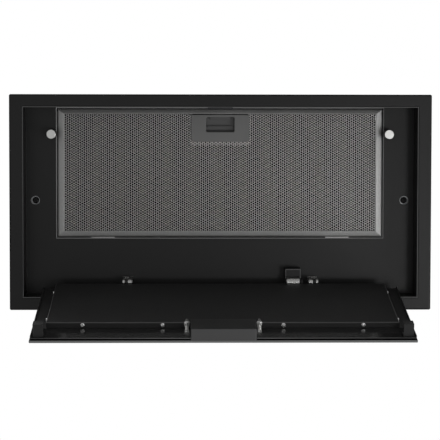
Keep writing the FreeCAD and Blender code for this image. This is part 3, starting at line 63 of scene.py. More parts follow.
def place_camera():
    """Stands under the hood and looks straight up, the hinge side at the foot of the picture."""
    lens_mm, sensor_mm, shift = 136.84, 36.0, -0.1
    place = (-0.0433377, -0.1375179, -2.0986854)
    lean_x, lean_y, lean_z = 0.0497, 0.0201, -0.0016
    lens = bpy.data.cameras.new("camera")
    lens.sensor_fit = "HORIZONTAL"
    lens.sensor_width = sensor_mm
    lens.lens = lens_mm
    lens.shift_y = shift
    lens.clip_start, lens.clip_end = 0.05, 60.0
    camera = bpy.data.objects.new("camera", lens)
    scene.collection.objects.link(camera)
    upwards = Matrix(((1, 0, 0), (0, -1, 0), (0, 0, -1)))
    lean = (
        Matrix.Rotation(lean_x, 3, "X") @ Matrix.Rotation(lean_y, 3, "Y")
        @ Matrix.Rotation(lean_z, 3, "Z"))
    looks = lean @ upwards
    camera.matrix_world = Matrix.Translation(place) @ looks.transposed().to_4x4()
    scene.camera = camera


def softbox(name, place, size, power):
    """A flat lamp of a size in metres and a power in watts, aimed at the middle of the cut-out."""
    lamp = bpy.data.lights.new(name, "AREA")
    lamp.shape = "RECTANGLE"
    lamp.size, lamp.size_y = size
    lamp.energy = power
    thing = bpy.data.objects.new(name, lamp)
    thing.location = place
    thing.rotation_euler = (-Vector(place)).to_track_quat("-Z", "Y").to_euler()
    scene.collection.objects.link(thing)


def light_studio():
    """A white backdrop for the camera, a dimmer one as light, and five lamps."""
    shed_level, seen_level = 0.36, 1.0
    scene.view_settings.view_transform = "Standard"
    world = bpy.data.worlds.new("studio")
    scene.world = world
    world.use_nodes = True
    tree = world.node_tree
    back = tree.nodes["Background"]
    back.inputs["Color"].default_value = (1, 1, 1, 1)
    path = tree.nodes.new("ShaderNodeLightPath")
    level = tree.nodes.new("ShaderNodeMapRange")
    level.inputs["To Min"].default_value = shed_level
    level.inputs["To Max"].default_value = seen_level
    tree.links.new(path.outputs["Is Camera Ray"], level.inputs["Value"])
    tree.links.new(level.outputs["Result"], back.inputs["Strength"])
    softbox("softbox_key", (0.72, 0.30, -2.2), (0.3, 0.35), 2.0)
    softbox("softbox_right", (0.80, 0.25, -2.25), (1.0, 1.1), 1.2)
    softbox("softbox_side", (2.0, 0.9, -1.4), (1.2, 1.2), 16)
    softbox("softbox_left", (-0.55, 0.1, -2.3), (0.9, 1.0), 0.7)
    softbox("softbox_above", (-0.6, -1.4, 1.9), (2.4, 2.4), 22)


def lay_floor():
    """A wide, far floor that looks pale to the camera without lighting the hood."""
    reach, height, seen_glow = 30, -6, 0.62
    corners = [
        (-reach, -reach, height), (reach, -reach, height), (reach, reach, height),
        (-reach, reach, height)]
    mesh = bpy.data.meshes.new("floor")
    mesh.from_pydata(corners, [], [(0, 1, 2, 3)])
    floor = bpy.data.objects.new("floor", mesh)
    scene.collection.objects.link(floor)
    paint = bpy.data.materials.new("floor_paint")
    paint.use_nodes = True
    shader = paint.node_tree.nodes["Principled BSDF"]
    shader.inputs["Base Color"].default_value = (0.6, 0.6, 0.6, 1)
    shader.inputs["Roughness"].default_value = 0.9
    shader.inputs["Emission Color"].default_value = (1, 1, 1, 1)
    path = paint.node_tree.nodes.new("ShaderNodeLightPath")
    level = paint.node_tree.nodes.new("ShaderNodeMath")
    level.operation = "MULTIPLY"
    level.inputs[1].default_value = seen_glow
    paint.node_tree.links.new(path.outputs["Is Camera Ray"], level.inputs[0])
    paint.node_tree.links.new(level.outputs[0], shader.inputs["Emission Strength"])
    mesh.materials.append(paint)


# ---- shader node groups ----

FLOAT, VECTOR = "NodeSocketFloat", "NodeSocketVector"


def group(name, inputs, outputs):
    """A shader node group with its sockets: (name, kind, default) and (name, kind)."""
    tree = bpy.data.node_groups.new(name, "ShaderNodeTree")
    for label, kind, default in inputs:
        socket = tree.interface.new_socket(label, in_out="INPUT", socket_type=kind)
        socket.default_value = default
    for label, kind in outputs:
        tree.interface.new_socket(label, in_out="OUTPUT", socket_type=kind)
    return tree, tree.nodes.new("NodeGroupInput"), tree.nodes.new("NodeGroupOutput")


def node(tree, kind, settings=None, **inputs):
    """A node with its settings; an input, by label or as i0, i1, is a value or another's output."""
    item = tree.nodes.new(kind)
    for key, value in (settings or {}).items():
        setattr(item, key, value)
    for key, value in inputs.items():
        numbered = key[0] == "i" and key[1:].isdigit()
        socket = item.inputs[int(key[1:])] if numbered else item.inputs[key.replace("_", " ")]
        if isinstance(value, bpy.types.NodeSocket):
            tree.links.new(value, socket)
        else:
            socket.default_value = value
    return item


def make_grain_group():
    """Fine grain, as of powder coat or moulded plastic, and slow blotches."""
    tree, given, out = group(
        "grain", [("Grain", FLOAT, 1200.0), ("Blotch", FLOAT, 14.0)],
        [("Fine", FLOAT), ("Slow", FLOAT)])
    place = node(tree, "ShaderNodeTexCoord").outputs["Object"]
    fine = node(
        tree, "ShaderNodeTexNoise", Vector=place, Scale=given.outputs["Grain"], Detail=2.0,
        Roughness=0.5)
    slow = node(
        tree, "ShaderNodeTexNoise", Vector=place, Scale=given.outputs["Blotch"], Detail=4.0,
        Roughness=0.6)
    tree.links.new(fine.outputs["Fac"], out.inputs["Fine"])
    tree.links.new(slow.outputs["Fac"], out.inputs["Slow"])
    return tree


def make_edge_group():
    """Finds a piece's edges within a radius: rounds their shading and gives a mask of them."""
    least_turn, full_turn = 0.01, 0.3
    tree, given, out = group(
        "edges", [("Radius", FLOAT, 0.0004)], [("Mask", FLOAT), ("Normal", VECTOR)])
    rounded = node(tree, "ShaderNodeBevel", {"samples": 6}, Radius=given.outputs["Radius"])
    shape = node(tree, "ShaderNodeNewGeometry")
    facing = node(
        tree, "ShaderNodeVectorMath", {"operation": "DOT_PRODUCT"},
        i0=rounded.outputs["Normal"], i1=shape.outputs["Normal"])
    turned = node(
        tree, "ShaderNodeMath", {"operation": "SUBTRACT"}, i0=1.0, i1=facing.outputs["Value"])
    mask = node(
        tree, "ShaderNodeMapRange", Value=turned.outputs[0], From_Min=least_turn,
        From_Max=full_turn)
    tree.links.new(mask.outputs["Result"], out.inputs["Mask"])
    tree.links.new(rounded.outputs["Normal"], out.inputs["Normal"])
    return tree


def make_brush_group():
    """Fine scratches left by rolling or brushing, drawn out along a chosen way."""
    tree, given, out = group(
        "brushing", [("Stretch", VECTOR, (60.0, 2400.0, 2400.0))], [("Lines", FLOAT)])
    place = node(tree, "ShaderNodeTexCoord").outputs["Object"]
    spread = node(
        tree, "ShaderNodeVectorMath", {"operation": "MULTIPLY"}, i0=place,
        i1=given.outputs["Stretch"])
    lines = node(
        tree, "ShaderNodeTexNoise", Vector=spread.outputs[0], Scale=1.0, Detail=3.0,
        Roughness=0.65)
    tree.links.new(lines.outputs["Fac"], out.inputs["Lines"])
    return tree


def make_spangle_group():
    """The crystal pattern of hot-dip zinc on sheet: a tone for each crystal."""
    drift_scale, drift_reach = 90.0, 0.006
    tree, given, out = group("spangle", [("Size", FLOAT, 120.0)], [("Tone", FLOAT)])
    place = node(tree, "ShaderNodeTexCoord").outputs["Object"]
    drift = node(tree, "ShaderNodeTexNoise", Vector=place, Scale=drift_scale, Detail=2.0)
    warp = node(
        tree, "ShaderNodeVectorMath", {"operation": "MULTIPLY_ADD"},
        i0=drift.outputs["Color"], i1=(drift_reach,) * 3, i2=place)
    cells = node(
        tree, "ShaderNodeTexVoronoi", Vector=warp.outputs[0], Scale=given.outputs["Size"])
    split = node(tree, "ShaderNodeSeparateColor", Color=cells.outputs["Color"])
    tree.links.new(split.outputs["Red"], out.inputs["Tone"])
    return tree


GRAIN = make_grain_group()
EDGES = make_edge_group()
BRUSHING = make_brush_group()
SPANGLE = make_spangle_group()


# ---- finishes ----

def grey(level, blue=0.0):
    """A neutral tone, or one with a little more blue, or less."""
    return level, level, level + blue


def use(tree, kind, **inputs):
    """Places a node group in a material."""
    item = tree.nodes.new("ShaderNodeGroup")
    item.node_tree = kind
    for label, value in inputs.items():
        item.inputs[label].default_value = value
    return item


def remap(tree, value, low, high, to_low=0.0, to_high=1.0):
    """A value between low and high becomes one between to_low and to_high."""
    item = node(
        tree, "ShaderNodeMapRange", Value=value, From_Min=low, From_Max=high, To_Min=to_low,
        To_Max=to_high)
    return item.outputs["Result"]


def blend(tree, factor, low, high):
    """Two colours mixed by a mask."""
    item = node(tree, "ShaderNodeMix", {"data_type": "RGBA"})
    tree.links.new(factor, item.inputs["Factor"])
    item.inputs[6].default_value = (*low, 1)
    item.inputs[7].default_value = (*high, 1)
    return item.outputs[2]


def tint(tree, mask, skin, tone):
    """A colour output, with another tone where the mask is."""
    item = node(tree, "ShaderNodeMix", {"data_type": "RGBA"})
    tree.links.new(mask, item.inputs["Factor"])
    tree.links.new(skin, item.inputs[6])
    item.inputs[7].default_value = (*tone, 1)
    return item.outputs[2]


def mark_of(tree, name):
    """The number that mark() or round_edges() wrote on the faces."""
    return node(tree, "ShaderNodeAttribute", {"attribute_name": name}).outputs["Fac"]


def emboss(tree, shader, height, strength, depth, normal=None):
    """Fine relief, over the rounded edges where their normal is given."""
    item = node(tree, "ShaderNodeBump", Strength=strength, Distance=depth, Height=height)
    if normal:
        tree.links.new(normal, item.inputs["Normal"])
    tree.links.new(item.outputs["Normal"], shader.inputs["Normal"])


FINISH = {}


def new_finish(name):
    """Begins a finish, kept in FINISH under its slot's name: its tree and its main shader."""
    finish = bpy.data.materials.new(name)
    finish.use_nodes = True
    FINISH[name] = finish
    return finish.node_tree, finish.node_tree.nodes["Principled BSDF"]


def coated(name, dark, light, rough, grain=900.0, depth=0.03, strength=0.35, edge=0.5,
           edge_tone=None, polished=None, second_tone=None):
    """A painted, moulded or rubber surface: blotches of tone, grain in its gloss, paler edges that
    are partly rubbed wear and partly a painted highlight.

    The relief's depth and the edges' radius are in millimetres.
    """
    tree, shader = new_finish(name)
    grains = use(tree, GRAIN, Grain=grain, Blotch=9.0)
    edges = use(tree, EDGES, Radius=edge * MM)
    skin = blend(tree, remap(tree, grains.outputs["Slow"], *NOISE), dark, light)
    # paler edges: partly rubbed wear, partly a painted highlight along rounded edges
    edge_tint = edge_tone or tuple(c * 1.5 + 0.01 for c in light)
    skin = tint(tree, edges.outputs["Mask"], skin, edge_tint)
    if second_tone:
        skin = tint(tree, mark_of(tree, "second"), skin, second_tone)
    tree.links.new(skin, shader.inputs["Base Color"])
    sheen = remap(tree, grains.outputs["Fine"], *NOISE, rough - 0.06, rough + 0.06)
    if polished is not None:
        sheen = node(
            tree, "ShaderNodeMix", {"data_type": "FLOAT"}, Factor=mark_of(tree, "polish"),
            i2=sheen, i3=polished).outputs[0]
    tree.links.new(sheen, shader.inputs["Roughness"])
    emboss(tree, shader, grains.outputs["Fine"], strength, depth * MM, edges.outputs["Normal"])


def metal(name, dark, light, rough, stretch=(60.0, 2400.0, 2400.0), strength=0.3, edge=0.3,
          shade_tone=None):
    """Bare or plated metal: brushing lines, duller patches, brighter edges; painted dark as shade
    where marked.
    """
    tree, shader = new_finish(name)
    lines = use(tree, BRUSHING, Stretch=stretch)
    grains = use(tree, GRAIN, Blotch=25.0)
    edges = use(tree, EDGES, Radius=edge * MM)
    skin = blend(tree, lines.outputs["Lines"], dark, light)
    edge_tint = tuple(min(1.0, c * 1.2) for c in light)
    skin = tint(tree, edges.outputs["Mask"], skin, edge_tint)
    # painted shade on marked faces
    if shade_tone:
        skin = tint(tree, mark_of(tree, "painted_shade"), skin, shade_tone)
    tree.links.new(skin, shader.inputs["Base Color"])
    gloss = remap(tree, grains.outputs["Slow"], *NOISE, rough - 0.03, rough + 0.03)
    tree.links.new(gloss, shader.inputs["Roughness"])
    emboss(tree, shader, lines.outputs["Lines"], strength, 0.03 * MM, edges.outputs["Normal"])
    shader.inputs["Metallic"].default_value = 1.0


def zinc_sheet_finish():
    """Hot-dip zinc: each crystal with its own tone and gloss."""
    least_rough, rough_span = 0.37, 0.07
    tree, shader = new_finish("zinc_sheet")
    flakes = use(tree, SPANGLE, Size=230.0)
    grains = use(tree, GRAIN, Blotch=12.0)
    edges = use(tree, EDGES, Radius=0.5 * MM)
    skin = blend(tree, flakes.outputs["Tone"], (0.45, 0.46, 0.47), (0.53, 0.54, 0.55))
    skin = tint(tree, edges.outputs["Mask"], skin, grey(0.7, 0.01))
    tree.links.new(skin, shader.inputs["Base Color"])
    rough = node(
        tree, "ShaderNodeMath", {"operation": "MULTIPLY_ADD"}, i0=flakes.outputs["Tone"],
        i1=rough_span, i2=least_rough)
    tree.links.new(rough.outputs[0], shader.inputs["Roughness"])
    emboss(tree, shader, grains.outputs["Slow"], 0.2, 0.05 * MM, edges.outputs["Normal"])
    shader.inputs["Metallic"].default_value = 1.0


def glass_finish():
    """Black-backed glass: a polished face, and a paler, matt rim where it is ground."""
    rim_rough = 0.42
    tree, shader = new_finish("black_glass")
    grains = use(tree, GRAIN, Grain=900.0, Blotch=10.0)
    ground = mark_of(tree, "ground")
    skin = blend(tree, ground, grey(0.006, 0.001), (0.24, 0.245, 0.245))
    tree.links.new(skin, shader.inputs["Base Color"])
    smear = remap(tree, grains.outputs["Slow"], 0.35, 0.7, 0.03, 0.08)
    gloss = node(
        tree, "ShaderNodeMix", {"data_type": "FLOAT"}, Factor=ground, i2=smear, i3=rim_rough)
    tree.links.new(gloss.outputs[0], shader.inputs["Roughness"])
    emboss(tree, shader, grains.outputs["Fine"], 0.1, 0.02 * MM)


def circuit_finish():
    """Green solder mask with raised tracks."""
    tree, shader = new_finish("circuit_board")
    place = node(tree, "ShaderNodeTexCoord").outputs["Object"]
    tracks = node(tree, "ShaderNodeTexBrick", Vector=place, Scale=140.0, Mortar_Size=0.06)
    skin = blend(tree, tracks.outputs["Fac"], (0.012, 0.075, 0.03), (0.03, 0.14, 0.06))
    tree.links.new(skin, shader.inputs["Base Color"])
    emboss(tree, shader, tracks.outputs["Fac"], 0.4, 0.05 * MM)
    grains = use(tree, GRAIN, Blotch=30.0)
    gloss = remap(tree, grains.outputs["Slow"], 0.0, 1.0, 0.2, 0.4)
    tree.links.new(gloss, shader.inputs["Roughness"])


def make_finishes():
    """A finish for each material slot: dark tone, light tone, roughness, then what is special."""
    # black_enamel's second tone is a painted highlight on marked rims
    coated("black_enamel", grey(0.005), (0.007, 0.0069, 0.0068), 0.40, grain=1300.0, depth=0.04,
           edge_tone=grey(0.05), second_tone=grey(0.4))
    # panel_black's second tone is a painted highlight on marked rims
    coated("panel_black", grey(0.019), (0.024, 0.0238, 0.0236), 0.46, grain=1600.0, depth=0.02,
           strength=0.2, edge_tone=grey(0.06), polished=0.14, second_tone=grey(0.35))
    coated("black_oxide", grey(0.006, 0.0005), grey(0.01, 0.0005), 0.45, grain=1800.0,
           edge_tone=grey(0.02))
    zinc_sheet_finish()
    metal("bright_zinc", grey(0.86, -0.02), grey(0.98, -0.02), 0.28, stretch=(900.0,) * 3,
          strength=0.25)
    metal("screw_steel", grey(0.84, -0.01), grey(0.97, -0.01), 0.26, stretch=(1500.0,) * 3,
          strength=0.15)
    metal("spring_steel", grey(0.07, 0.005), grey(0.12, 0.005), 0.4, stretch=(80.0, 2400.0, 300.0))
    metal("filter_aluminium", grey(0.5, -0.005), grey(0.68, -0.01), 0.4, stretch=(500.0,) * 3,
          strength=0.25)
    # mesh_aluminium's dark tone is painted shade for the inner layer
    metal("mesh_aluminium", grey(0.82, -0.01), grey(0.96, -0.01), 0.36, stretch=(700.0,) * 3,
          strength=0.15, edge=0.1, shade_tone=grey(0.015))
    # latch_plastic's second tone is painted shade inside the handle pocket
    coated("latch_plastic", grey(0.22, -0.002), grey(0.245, -0.002), 0.5, grain=1700.0,
           depth=0.04, strength=0.4, edge=0.6, second_tone=grey(0.13))
    # black_plastic's second tone is a painted highlight on the cable outlet's rim
    coated("black_plastic", grey(0.008, 0.0005), grey(0.012, 0.0005), 0.45, grain=1500.0,
           depth=0.04, strength=0.4, edge=0.4, edge_tone=grey(0.06), second_tone=grey(0.4))
    coated("control_plastic", grey(0.10, 0.001), grey(0.115, 0.001), 0.34, grain=2200.0,
           depth=0.01, strength=0.2, edge=0.8, edge_tone=grey(0.2), second_tone=grey(0.02))
    coated("blower_plastic", grey(0.034, 0.002), grey(0.048, 0.002), 0.55)
    coated("gland_plastic", grey(0.028, 0.002), grey(0.038, 0.002), 0.48)
    glass_finish()
    coated("bond_tape", grey(0.022), grey(0.032), 0.85, grain=700.0, depth=0.1, strength=0.7)
    coated("bush_rubber", grey(0.02), grey(0.032), 0.75)
    coated("cable_jacket", grey(0.014), grey(0.02), 0.45)
    metal("motor_steel", grey(0.34), grey(0.5), 0.36, stretch=(2400.0, 90.0, 90.0))
    metal("shaft_steel", grey(0.5), grey(0.68), 0.2, stretch=(2600.0, 120.0, 120.0))
    circuit_finish()
    coated("capacitor_case", grey(0.46, -0.02), grey(0.56, -0.02), 0.35)
    metal("magnet_steel", grey(0.8, -0.02), grey(0.95, -0.02), 0.3, stretch=(1200.0,) * 3,
          strength=0.12)


place_camera()
light_studio()
lay_floor()
make_finishes()
SLOT = {row["node"]: row["material_slot"] for row in frame["record"]["subparts"]}
BODY = {
    name: body for body, names in frame["record"]["behaviour"]["bodies"].items()
    for name in names}


# ---- making pieces ----

def new_piece(name, mesh, body, slot, *stands_for):
    """Puts a finished mesh on its body, in its finish, for the nodes that it stands for."""
    piece = bpy.data.objects.new(name, mesh)
    scene.collection.objects.link(piece)
    mesh.materials.clear()
    mesh.materials.append(FINISH[slot])
    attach(piece, body)
    if stands_for:
        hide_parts(*stands_for)
    return piece


def node_shape(name):
    """A CAD node's shape as one welded mesh with flat faces joined."""
    shape = bmesh.new()
    shape.from_mesh(frame["nodes"][name].data)
    bmesh.ops.remove_doubles(shape, verts=shape.verts, dist=WELD)
    bmesh.ops.dissolve_limit(
        shape, angle_limit=math.radians(0.5), verts=shape.verts, edges=shape.edges,
        delimit=set())
    return shape


def mark(mesh, name, wanted=None):
    """Writes a number on each face for a finish to read: 1 where wanted, or everywhere."""
    values = mesh.attributes.new(name, "FLOAT", "FACE")
    for face in mesh.polygons:
        values.data[face.index].value = 1.0 if wanted is None or wanted(face) else 0.0


def soften(name, width, first=None, marked=None):
    """The CAD node again, with broken edges; first may round or bend single edges."""
    shape = node_shape(name)
    if first:
        first(shape)
    mesh = bpy.data.meshes.new(name + "_made")
    shape.to_mesh(mesh)
    shape.free()
    if marked:
        mark(mesh, *marked)
    for face in mesh.polygons:
        face.use_smooth = True
    piece = new_piece(name + "_made", mesh, BODY[name], SLOT[name], name)
    rounding = piece.modifiers.new("broken_edges", "BEVEL")
    rounding.width = width
    rounding.segments = 2
    rounding.limit_method = "ANGLE"
    rounding.angle_limit = math.radians(30)
    rounding.use_clamp_overlap = True
    piece.modifiers.new("flat_faces", "WEIGHTED_NORMAL")
    return piece


def round_edges(shape, wanted, radius, steps=4, tone=0.0):
    """Rounds sharp edges whose ends pass a test; tone mixes in the finish's second tone."""
    seconds = shape.faces.layers.float.get("second") or shape.faces.layers.float.new("second")
    edges = [
        edge for edge in shape.edges
        if edge.calc_face_angle(0) > SHARP and all(wanted(vert.co) for vert in edge.verts)]
    made = bmesh.ops.bevel(
        shape, geom=edges, offset=radius, segments=steps, profile=0.5, affect="EDGES",
        clamp_overlap=False)
    for face in made["faces"]:
        face[seconds] = tone


def close_mesh(shape, name, crease=35):
    """Ends a hand-built closed shape: faces outward, smooth up to the crease, in degrees."""
    bmesh.ops.recalc_face_normals(shape, faces=shape.faces)
    mesh = bpy.data.meshes.new(name)
    shape.to_mesh(mesh)
    shape.free()
    for face in mesh.polygons:
        face.use_smooth = True
    mesh.set_sharp_from_angle(angle=math.radians(crease))
    return mesh


def bridge(shape, low, high):
    """A band of faces between two loops of corners."""
    for k in range(len(low)):
        n = (k + 1) % len(low)
        shape.faces.new((low[k], low[n], high[n], high[k]))


def add_tube(shape, rings, capped=True):
    """Joins rings of points into a closed body: capped at its ends, or back to its first ring."""
    loops = [[shape.verts.new(spot) for spot in ring] for ring in rings]
    for low, high in zip(loops, loops[1:]):
        bridge(shape, low, high)
    if capped:
        shape.faces.new(loops[0])
        shape.faces.new(loops[-1][::-1])
    else:
        bridge(shape, loops[-1], loops[0])


# The open panel's own measures: v runs from the hinge axis to the free edge, w to the inner side.
HINGE = Vector((0, 0.1019, 0.0106))
LEAN = math.radians(10.6)
ALONG = Vector((0, math.sin(LEAN), -math.cos(LEAN)))
OUT = Vector((0, -math.cos(LEAN), -math.sin(LEAN)))


def on_panel(x, v, w):
    """The place of a spot given in the open panel's measures."""
    return HINGE + Vector((x, 0, 0)) + ALONG * v + OUT * w


def panel_spot(spot):
    """A place in the open panel's measures v and w."""
    return (spot - HINGE).dot(ALONG), (spot - HINGE).dot(OUT)


def near(value, *targets):
    """Whether a measure is one of those given."""
    return any(abs(value - target) < NEAR for target in targets)


# ---- geometry node trees ----

def shape_tree(name, inputs):
    """A geometry node tree with its inputs: (name, kind, default)."""
    tree = bpy.data.node_groups.new(name, "GeometryNodeTree")
    tree.interface.new_socket("Geometry", in_out="INPUT", socket_type="NodeSocketGeometry")
    for label, kind, default in inputs:
        socket = tree.interface.new_socket(label, in_out="INPUT", socket_type=kind)
        if default is not None:
            socket.default_value = default
    tree.interface.new_socket("Geometry", in_out="OUTPUT", socket_type="NodeSocketGeometry")
    return tree, tree.nodes.new("NodeGroupInput"), tree.nodes.new("NodeGroupOutput")


def finish_tree(tree, given, out, geometry):
    """Ends a tree in Realize Instances and Set Material."""
    real = node(tree, "GeometryNodeRealizeInstances", Geometry=geometry)
    coat = node(
        tree, "GeometryNodeSetMaterial", Geometry=real.outputs[0],
        Material=given.outputs["Material"])
    tree.links.new(coat.outputs[0], out.inputs[0])


def grow(tree, name, seed_mesh, values):
    """Runs a tree on a seed mesh and returns the plain mesh that it makes."""
    thing = bpy.data.objects.new(name + "_seed", seed_mesh)
    scene.collection.objects.link(thing)
    modifier = thing.modifiers.new(name, "NODES")
    modifier.node_group = tree
    for item in tree.interface.items_tree:
        if item.item_type == "SOCKET" and item.in_out == "INPUT" and item.name in values:
            modifier[item.identifier] = values[item.name]
    bpy.context.view_layer.update()
    graph = bpy.context.evaluated_depsgraph_get()
    made = bpy.data.meshes.new_from_object(thing.evaluated_get(graph), depsgraph=graph)
    made.name = name
    thing.modifiers.remove(modifier)
    bpy.data.objects.remove(thing)
    return made


def make_mesh_tree():
    """Expanded sheet: staggered six-sided openings, their strands raised to a ridge.

    Pitch is from opening to opening; Opening and Ridge are shares of a cell's radius.
    """
    tree, given, out = shape_tree("expanded_sheet", [
        ("Width", FLOAT, 0.4), ("Depth", FLOAT, 0.15), ("Pitch", FLOAT, 0.00306),
        ("Stretch", FLOAT, 1.007), ("Opening", FLOAT, 0.62), ("Ridge", FLOAT, 0.87),
        ("Rise", FLOAT, 0.00002), ("Thickness", FLOAT, 0.0008), ("Notch Width", FLOAT, 0.075),
        ("Notch Depth", FLOAT, 0.035), ("Material", "NodeSocketMaterial", None)])
    g = given.outputs

    def math_of(operation, a, b=0.0):
        return node(tree, "ShaderNodeMath", {"operation": operation}, i0=a, i1=b).outputs[0]

    def whole(value):
        return node(tree, "FunctionNodeFloatToInt", i0=value).outputs[0]

    def joined(first, second):
        item = tree.nodes.new("GeometryNodeJoinGeometry")
        tree.links.new(first, item.inputs[0])
        tree.links.new(second, item.inputs[0])
        return item.outputs[0]

    def band(top, bottom, height):
        """A six-sided ring of faces between two radii."""
        return node(
            tree, "GeometryNodeMeshCone", {"fill_type": "NONE"}, Vertices=6, Side_Segments=1,
            Radius_Top=top, Radius_Bottom=bottom, Depth=height).outputs["Mesh"]

    radius = math_of("MULTIPLY", g["Pitch"], 1 / math.sqrt(3))
    column = math_of("MULTIPLY", math_of("MULTIPLY", radius, 3.0), g["Stretch"])
    count_x = math_of("FLOOR", math_of("ADD", math_of("DIVIDE", g["Width"], column), 1.0))
    count_y = math_of("FLOOR", math_of("ADD", math_of("DIVIDE", g["Depth"], g["Pitch"]), 1.0))
    less_x, less_y = math_of("SUBTRACT", count_x, 1.0), math_of("SUBTRACT", count_y, 1.0)
    span_x, span_y = math_of("MULTIPLY", less_x, column), math_of("MULTIPLY", less_y, g["Pitch"])
    first = node(
        tree, "GeometryNodeMeshGrid", Size_X=span_x, Size_Y=span_y, Vertices_X=whole(count_x),
        Vertices_Y=whole(count_y))
    second = node(
        tree, "GeometryNodeMeshGrid", Size_X=math_of("SUBTRACT", span_x, column),
        Size_Y=math_of("SUBTRACT", span_y, g["Pitch"]), Vertices_X=whole(less_x),
        Vertices_Y=whole(less_y))
    both = joined(first.outputs["Mesh"], second.outputs["Mesh"])
    position = tree.nodes.new("GeometryNodeInputPosition").outputs[0]
    spot = node(tree, "ShaderNodeSeparateXYZ", Vector=position)
    beside = math_of(
        "LESS_THAN", math_of("ABSOLUTE", spot.outputs["X"]),
        math_of("MULTIPLY", g["Notch Width"], 0.5))
    edge = math_of("SUBTRACT", g["Notch Depth"], math_of("MULTIPLY", g["Depth"], 0.5))
    before = math_of("LESS_THAN", spot.outputs["Y"], edge)
    kept = node(
        tree, "GeometryNodeDeleteGeometry", {"domain": "POINT"}, Geometry=both,
        Selection=math_of("MULTIPLY", beside, before))
    ridge_radius = math_of("MULTIPLY", radius, g["Ridge"])
    hole_radius = math_of("MULTIPLY", radius, g["Opening"])
    slope = band(ridge_radius, radius, g["Rise"])
    wall = band(hole_radius, ridge_radius, math_of("SUBTRACT", g["Thickness"], g["Rise"]))
    lift = node(tree, "ShaderNodeCombineXYZ", Z=g["Rise"])
    raised = node(
        tree, "GeometryNodeTransform", Geometry=wall, Translation=lift.outputs[0])
    faced = node(tree, "GeometryNodeFlipFaces", Mesh=joined(slope, raised.outputs[0]))
    wide = node(tree, "ShaderNodeCombineXYZ", X=g["Stretch"], Y=1.0, Z=1.0)
    spread = node(
        tree, "GeometryNodeInstanceOnPoints", Points=kept.outputs[0],
        Instance=faced.outputs[0], Scale=wide.outputs[0])
    finish_tree(tree, given, out, spread.outputs[0])
    return tree


def make_screw_tree():
    """One screw on each vertex of the seed mesh, turned to the way that its head looks."""
    most_spin = 1.5     # nearly a quarter turn, after which the recess looks the same
    tree, given, out = shape_tree("screws", [
        ("Screw", "NodeSocketObject", None), ("Seed", "NodeSocketInt", 3),
        ("Material", "NodeSocketMaterial", None)])
    aim = node(
        tree, "GeometryNodeInputNamedAttribute", {"data_type": "FLOAT_VECTOR"}, Name="aim")
    turn = node(
        tree, "FunctionNodeAlignRotationToVector", {"axis": "Z"},
        Vector=aim.outputs["Attribute"])
    spin = node(
        tree, "FunctionNodeRandomValue", {"data_type": "FLOAT"}, i2=0.0, i3=most_spin,
        Seed=given.outputs["Seed"])
    own = node(
        tree, "FunctionNodeAxisAngleToRotation", Axis=(0, 0, 1), Angle=spin.outputs[1])
    way = node(
        tree, "FunctionNodeRotateRotation", {"rotation_space": "LOCAL"},
        Rotation=turn.outputs[0], Rotate_By=own.outputs[0])
    blank = node(tree, "GeometryNodeObjectInfo", Object=given.outputs["Screw"])
    points = node(tree, "GeometryNodeMeshToPoints", Mesh=given.outputs["Geometry"])
    spread = node(
        tree, "GeometryNodeInstanceOnPoints", Points=points.outputs[0],
        Instance=blank.outputs["Geometry"], Rotation=way.outputs[0])
    finish_tree(tree, given, out, spread.outputs[0])
    return tree


MESH_TREE = make_mesh_tree()
SCREW_TREE = make_screw_tree()


# ---- filter ----

def make_mesh_layer(name, node_name, low, high, pitch, opening, latch_room=0.0,
                    inner_side_up=False, shaded_dark=False):
    """One layer of expanded sheet inside the filter's frame.

    Heights, pitch and the room behind the latch plate are in mm, the opening is a share.
    """
    side_overlap, plate_overlap = 2 * MM, 1 * MM
    low, high = low * MM, high * MM
    box_low, box_high = (np.array(v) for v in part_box(node_name))
    plate_low, plate_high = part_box("latch_plate")
    seed_mesh = bpy.data.meshes.new("seed")
    seed_mesh.from_pydata([(0, 0, 0)], [], [])
    made = grow(MESH_TREE, name, seed_mesh, {
        "Width": box_high[0] - box_low[0] + side_overlap,
        "Depth": box_high[1] - box_low[1] + side_overlap,
        "Pitch": pitch * MM,
        "Opening": opening,
        "Thickness": high - low,
        "Notch Width": plate_high[0] - plate_low[0] - plate_overlap,
        "Notch Depth": plate_high[1] - box_low[1] + latch_room * MM,
        "Material": FINISH["mesh_aluminium"],
    })
    x, y, _ = (box_low + box_high) / 2
    if inner_side_up:
        made.transform(Matrix.Translation((x, y, high)) @ Matrix.Diagonal((1, 1, -1, 1)))
        made.flip_normals()
    else:
        made.transform(Matrix.Translation((x, y, low)))
    # a marked layer is painted near black: painted shade seen through the front layer's openings
    if shaded_dark:
        mark(made, "painted_shade")
    return new_piece(name, made, "filter", "mesh_aluminium", node_name)


make_mesh_layer(
    "filter_mesh_front_strands", "filter_mesh_front", 38.8, 39.6, pitch=3.06, opening=0.81)
make_mesh_layer(
    "filter_mesh_inner_strands", "filter_mesh_back", 41.6, 42.4, pitch=4.2, opening=0.3,
    shaded_dark=True, latch_room=6.0)
make_mesh_layer(
    "filter_mesh_back_strands", "filter_mesh_back", 45.4, 46.2, pitch=3.06, opening=0.62,
    inner_side_up=True)


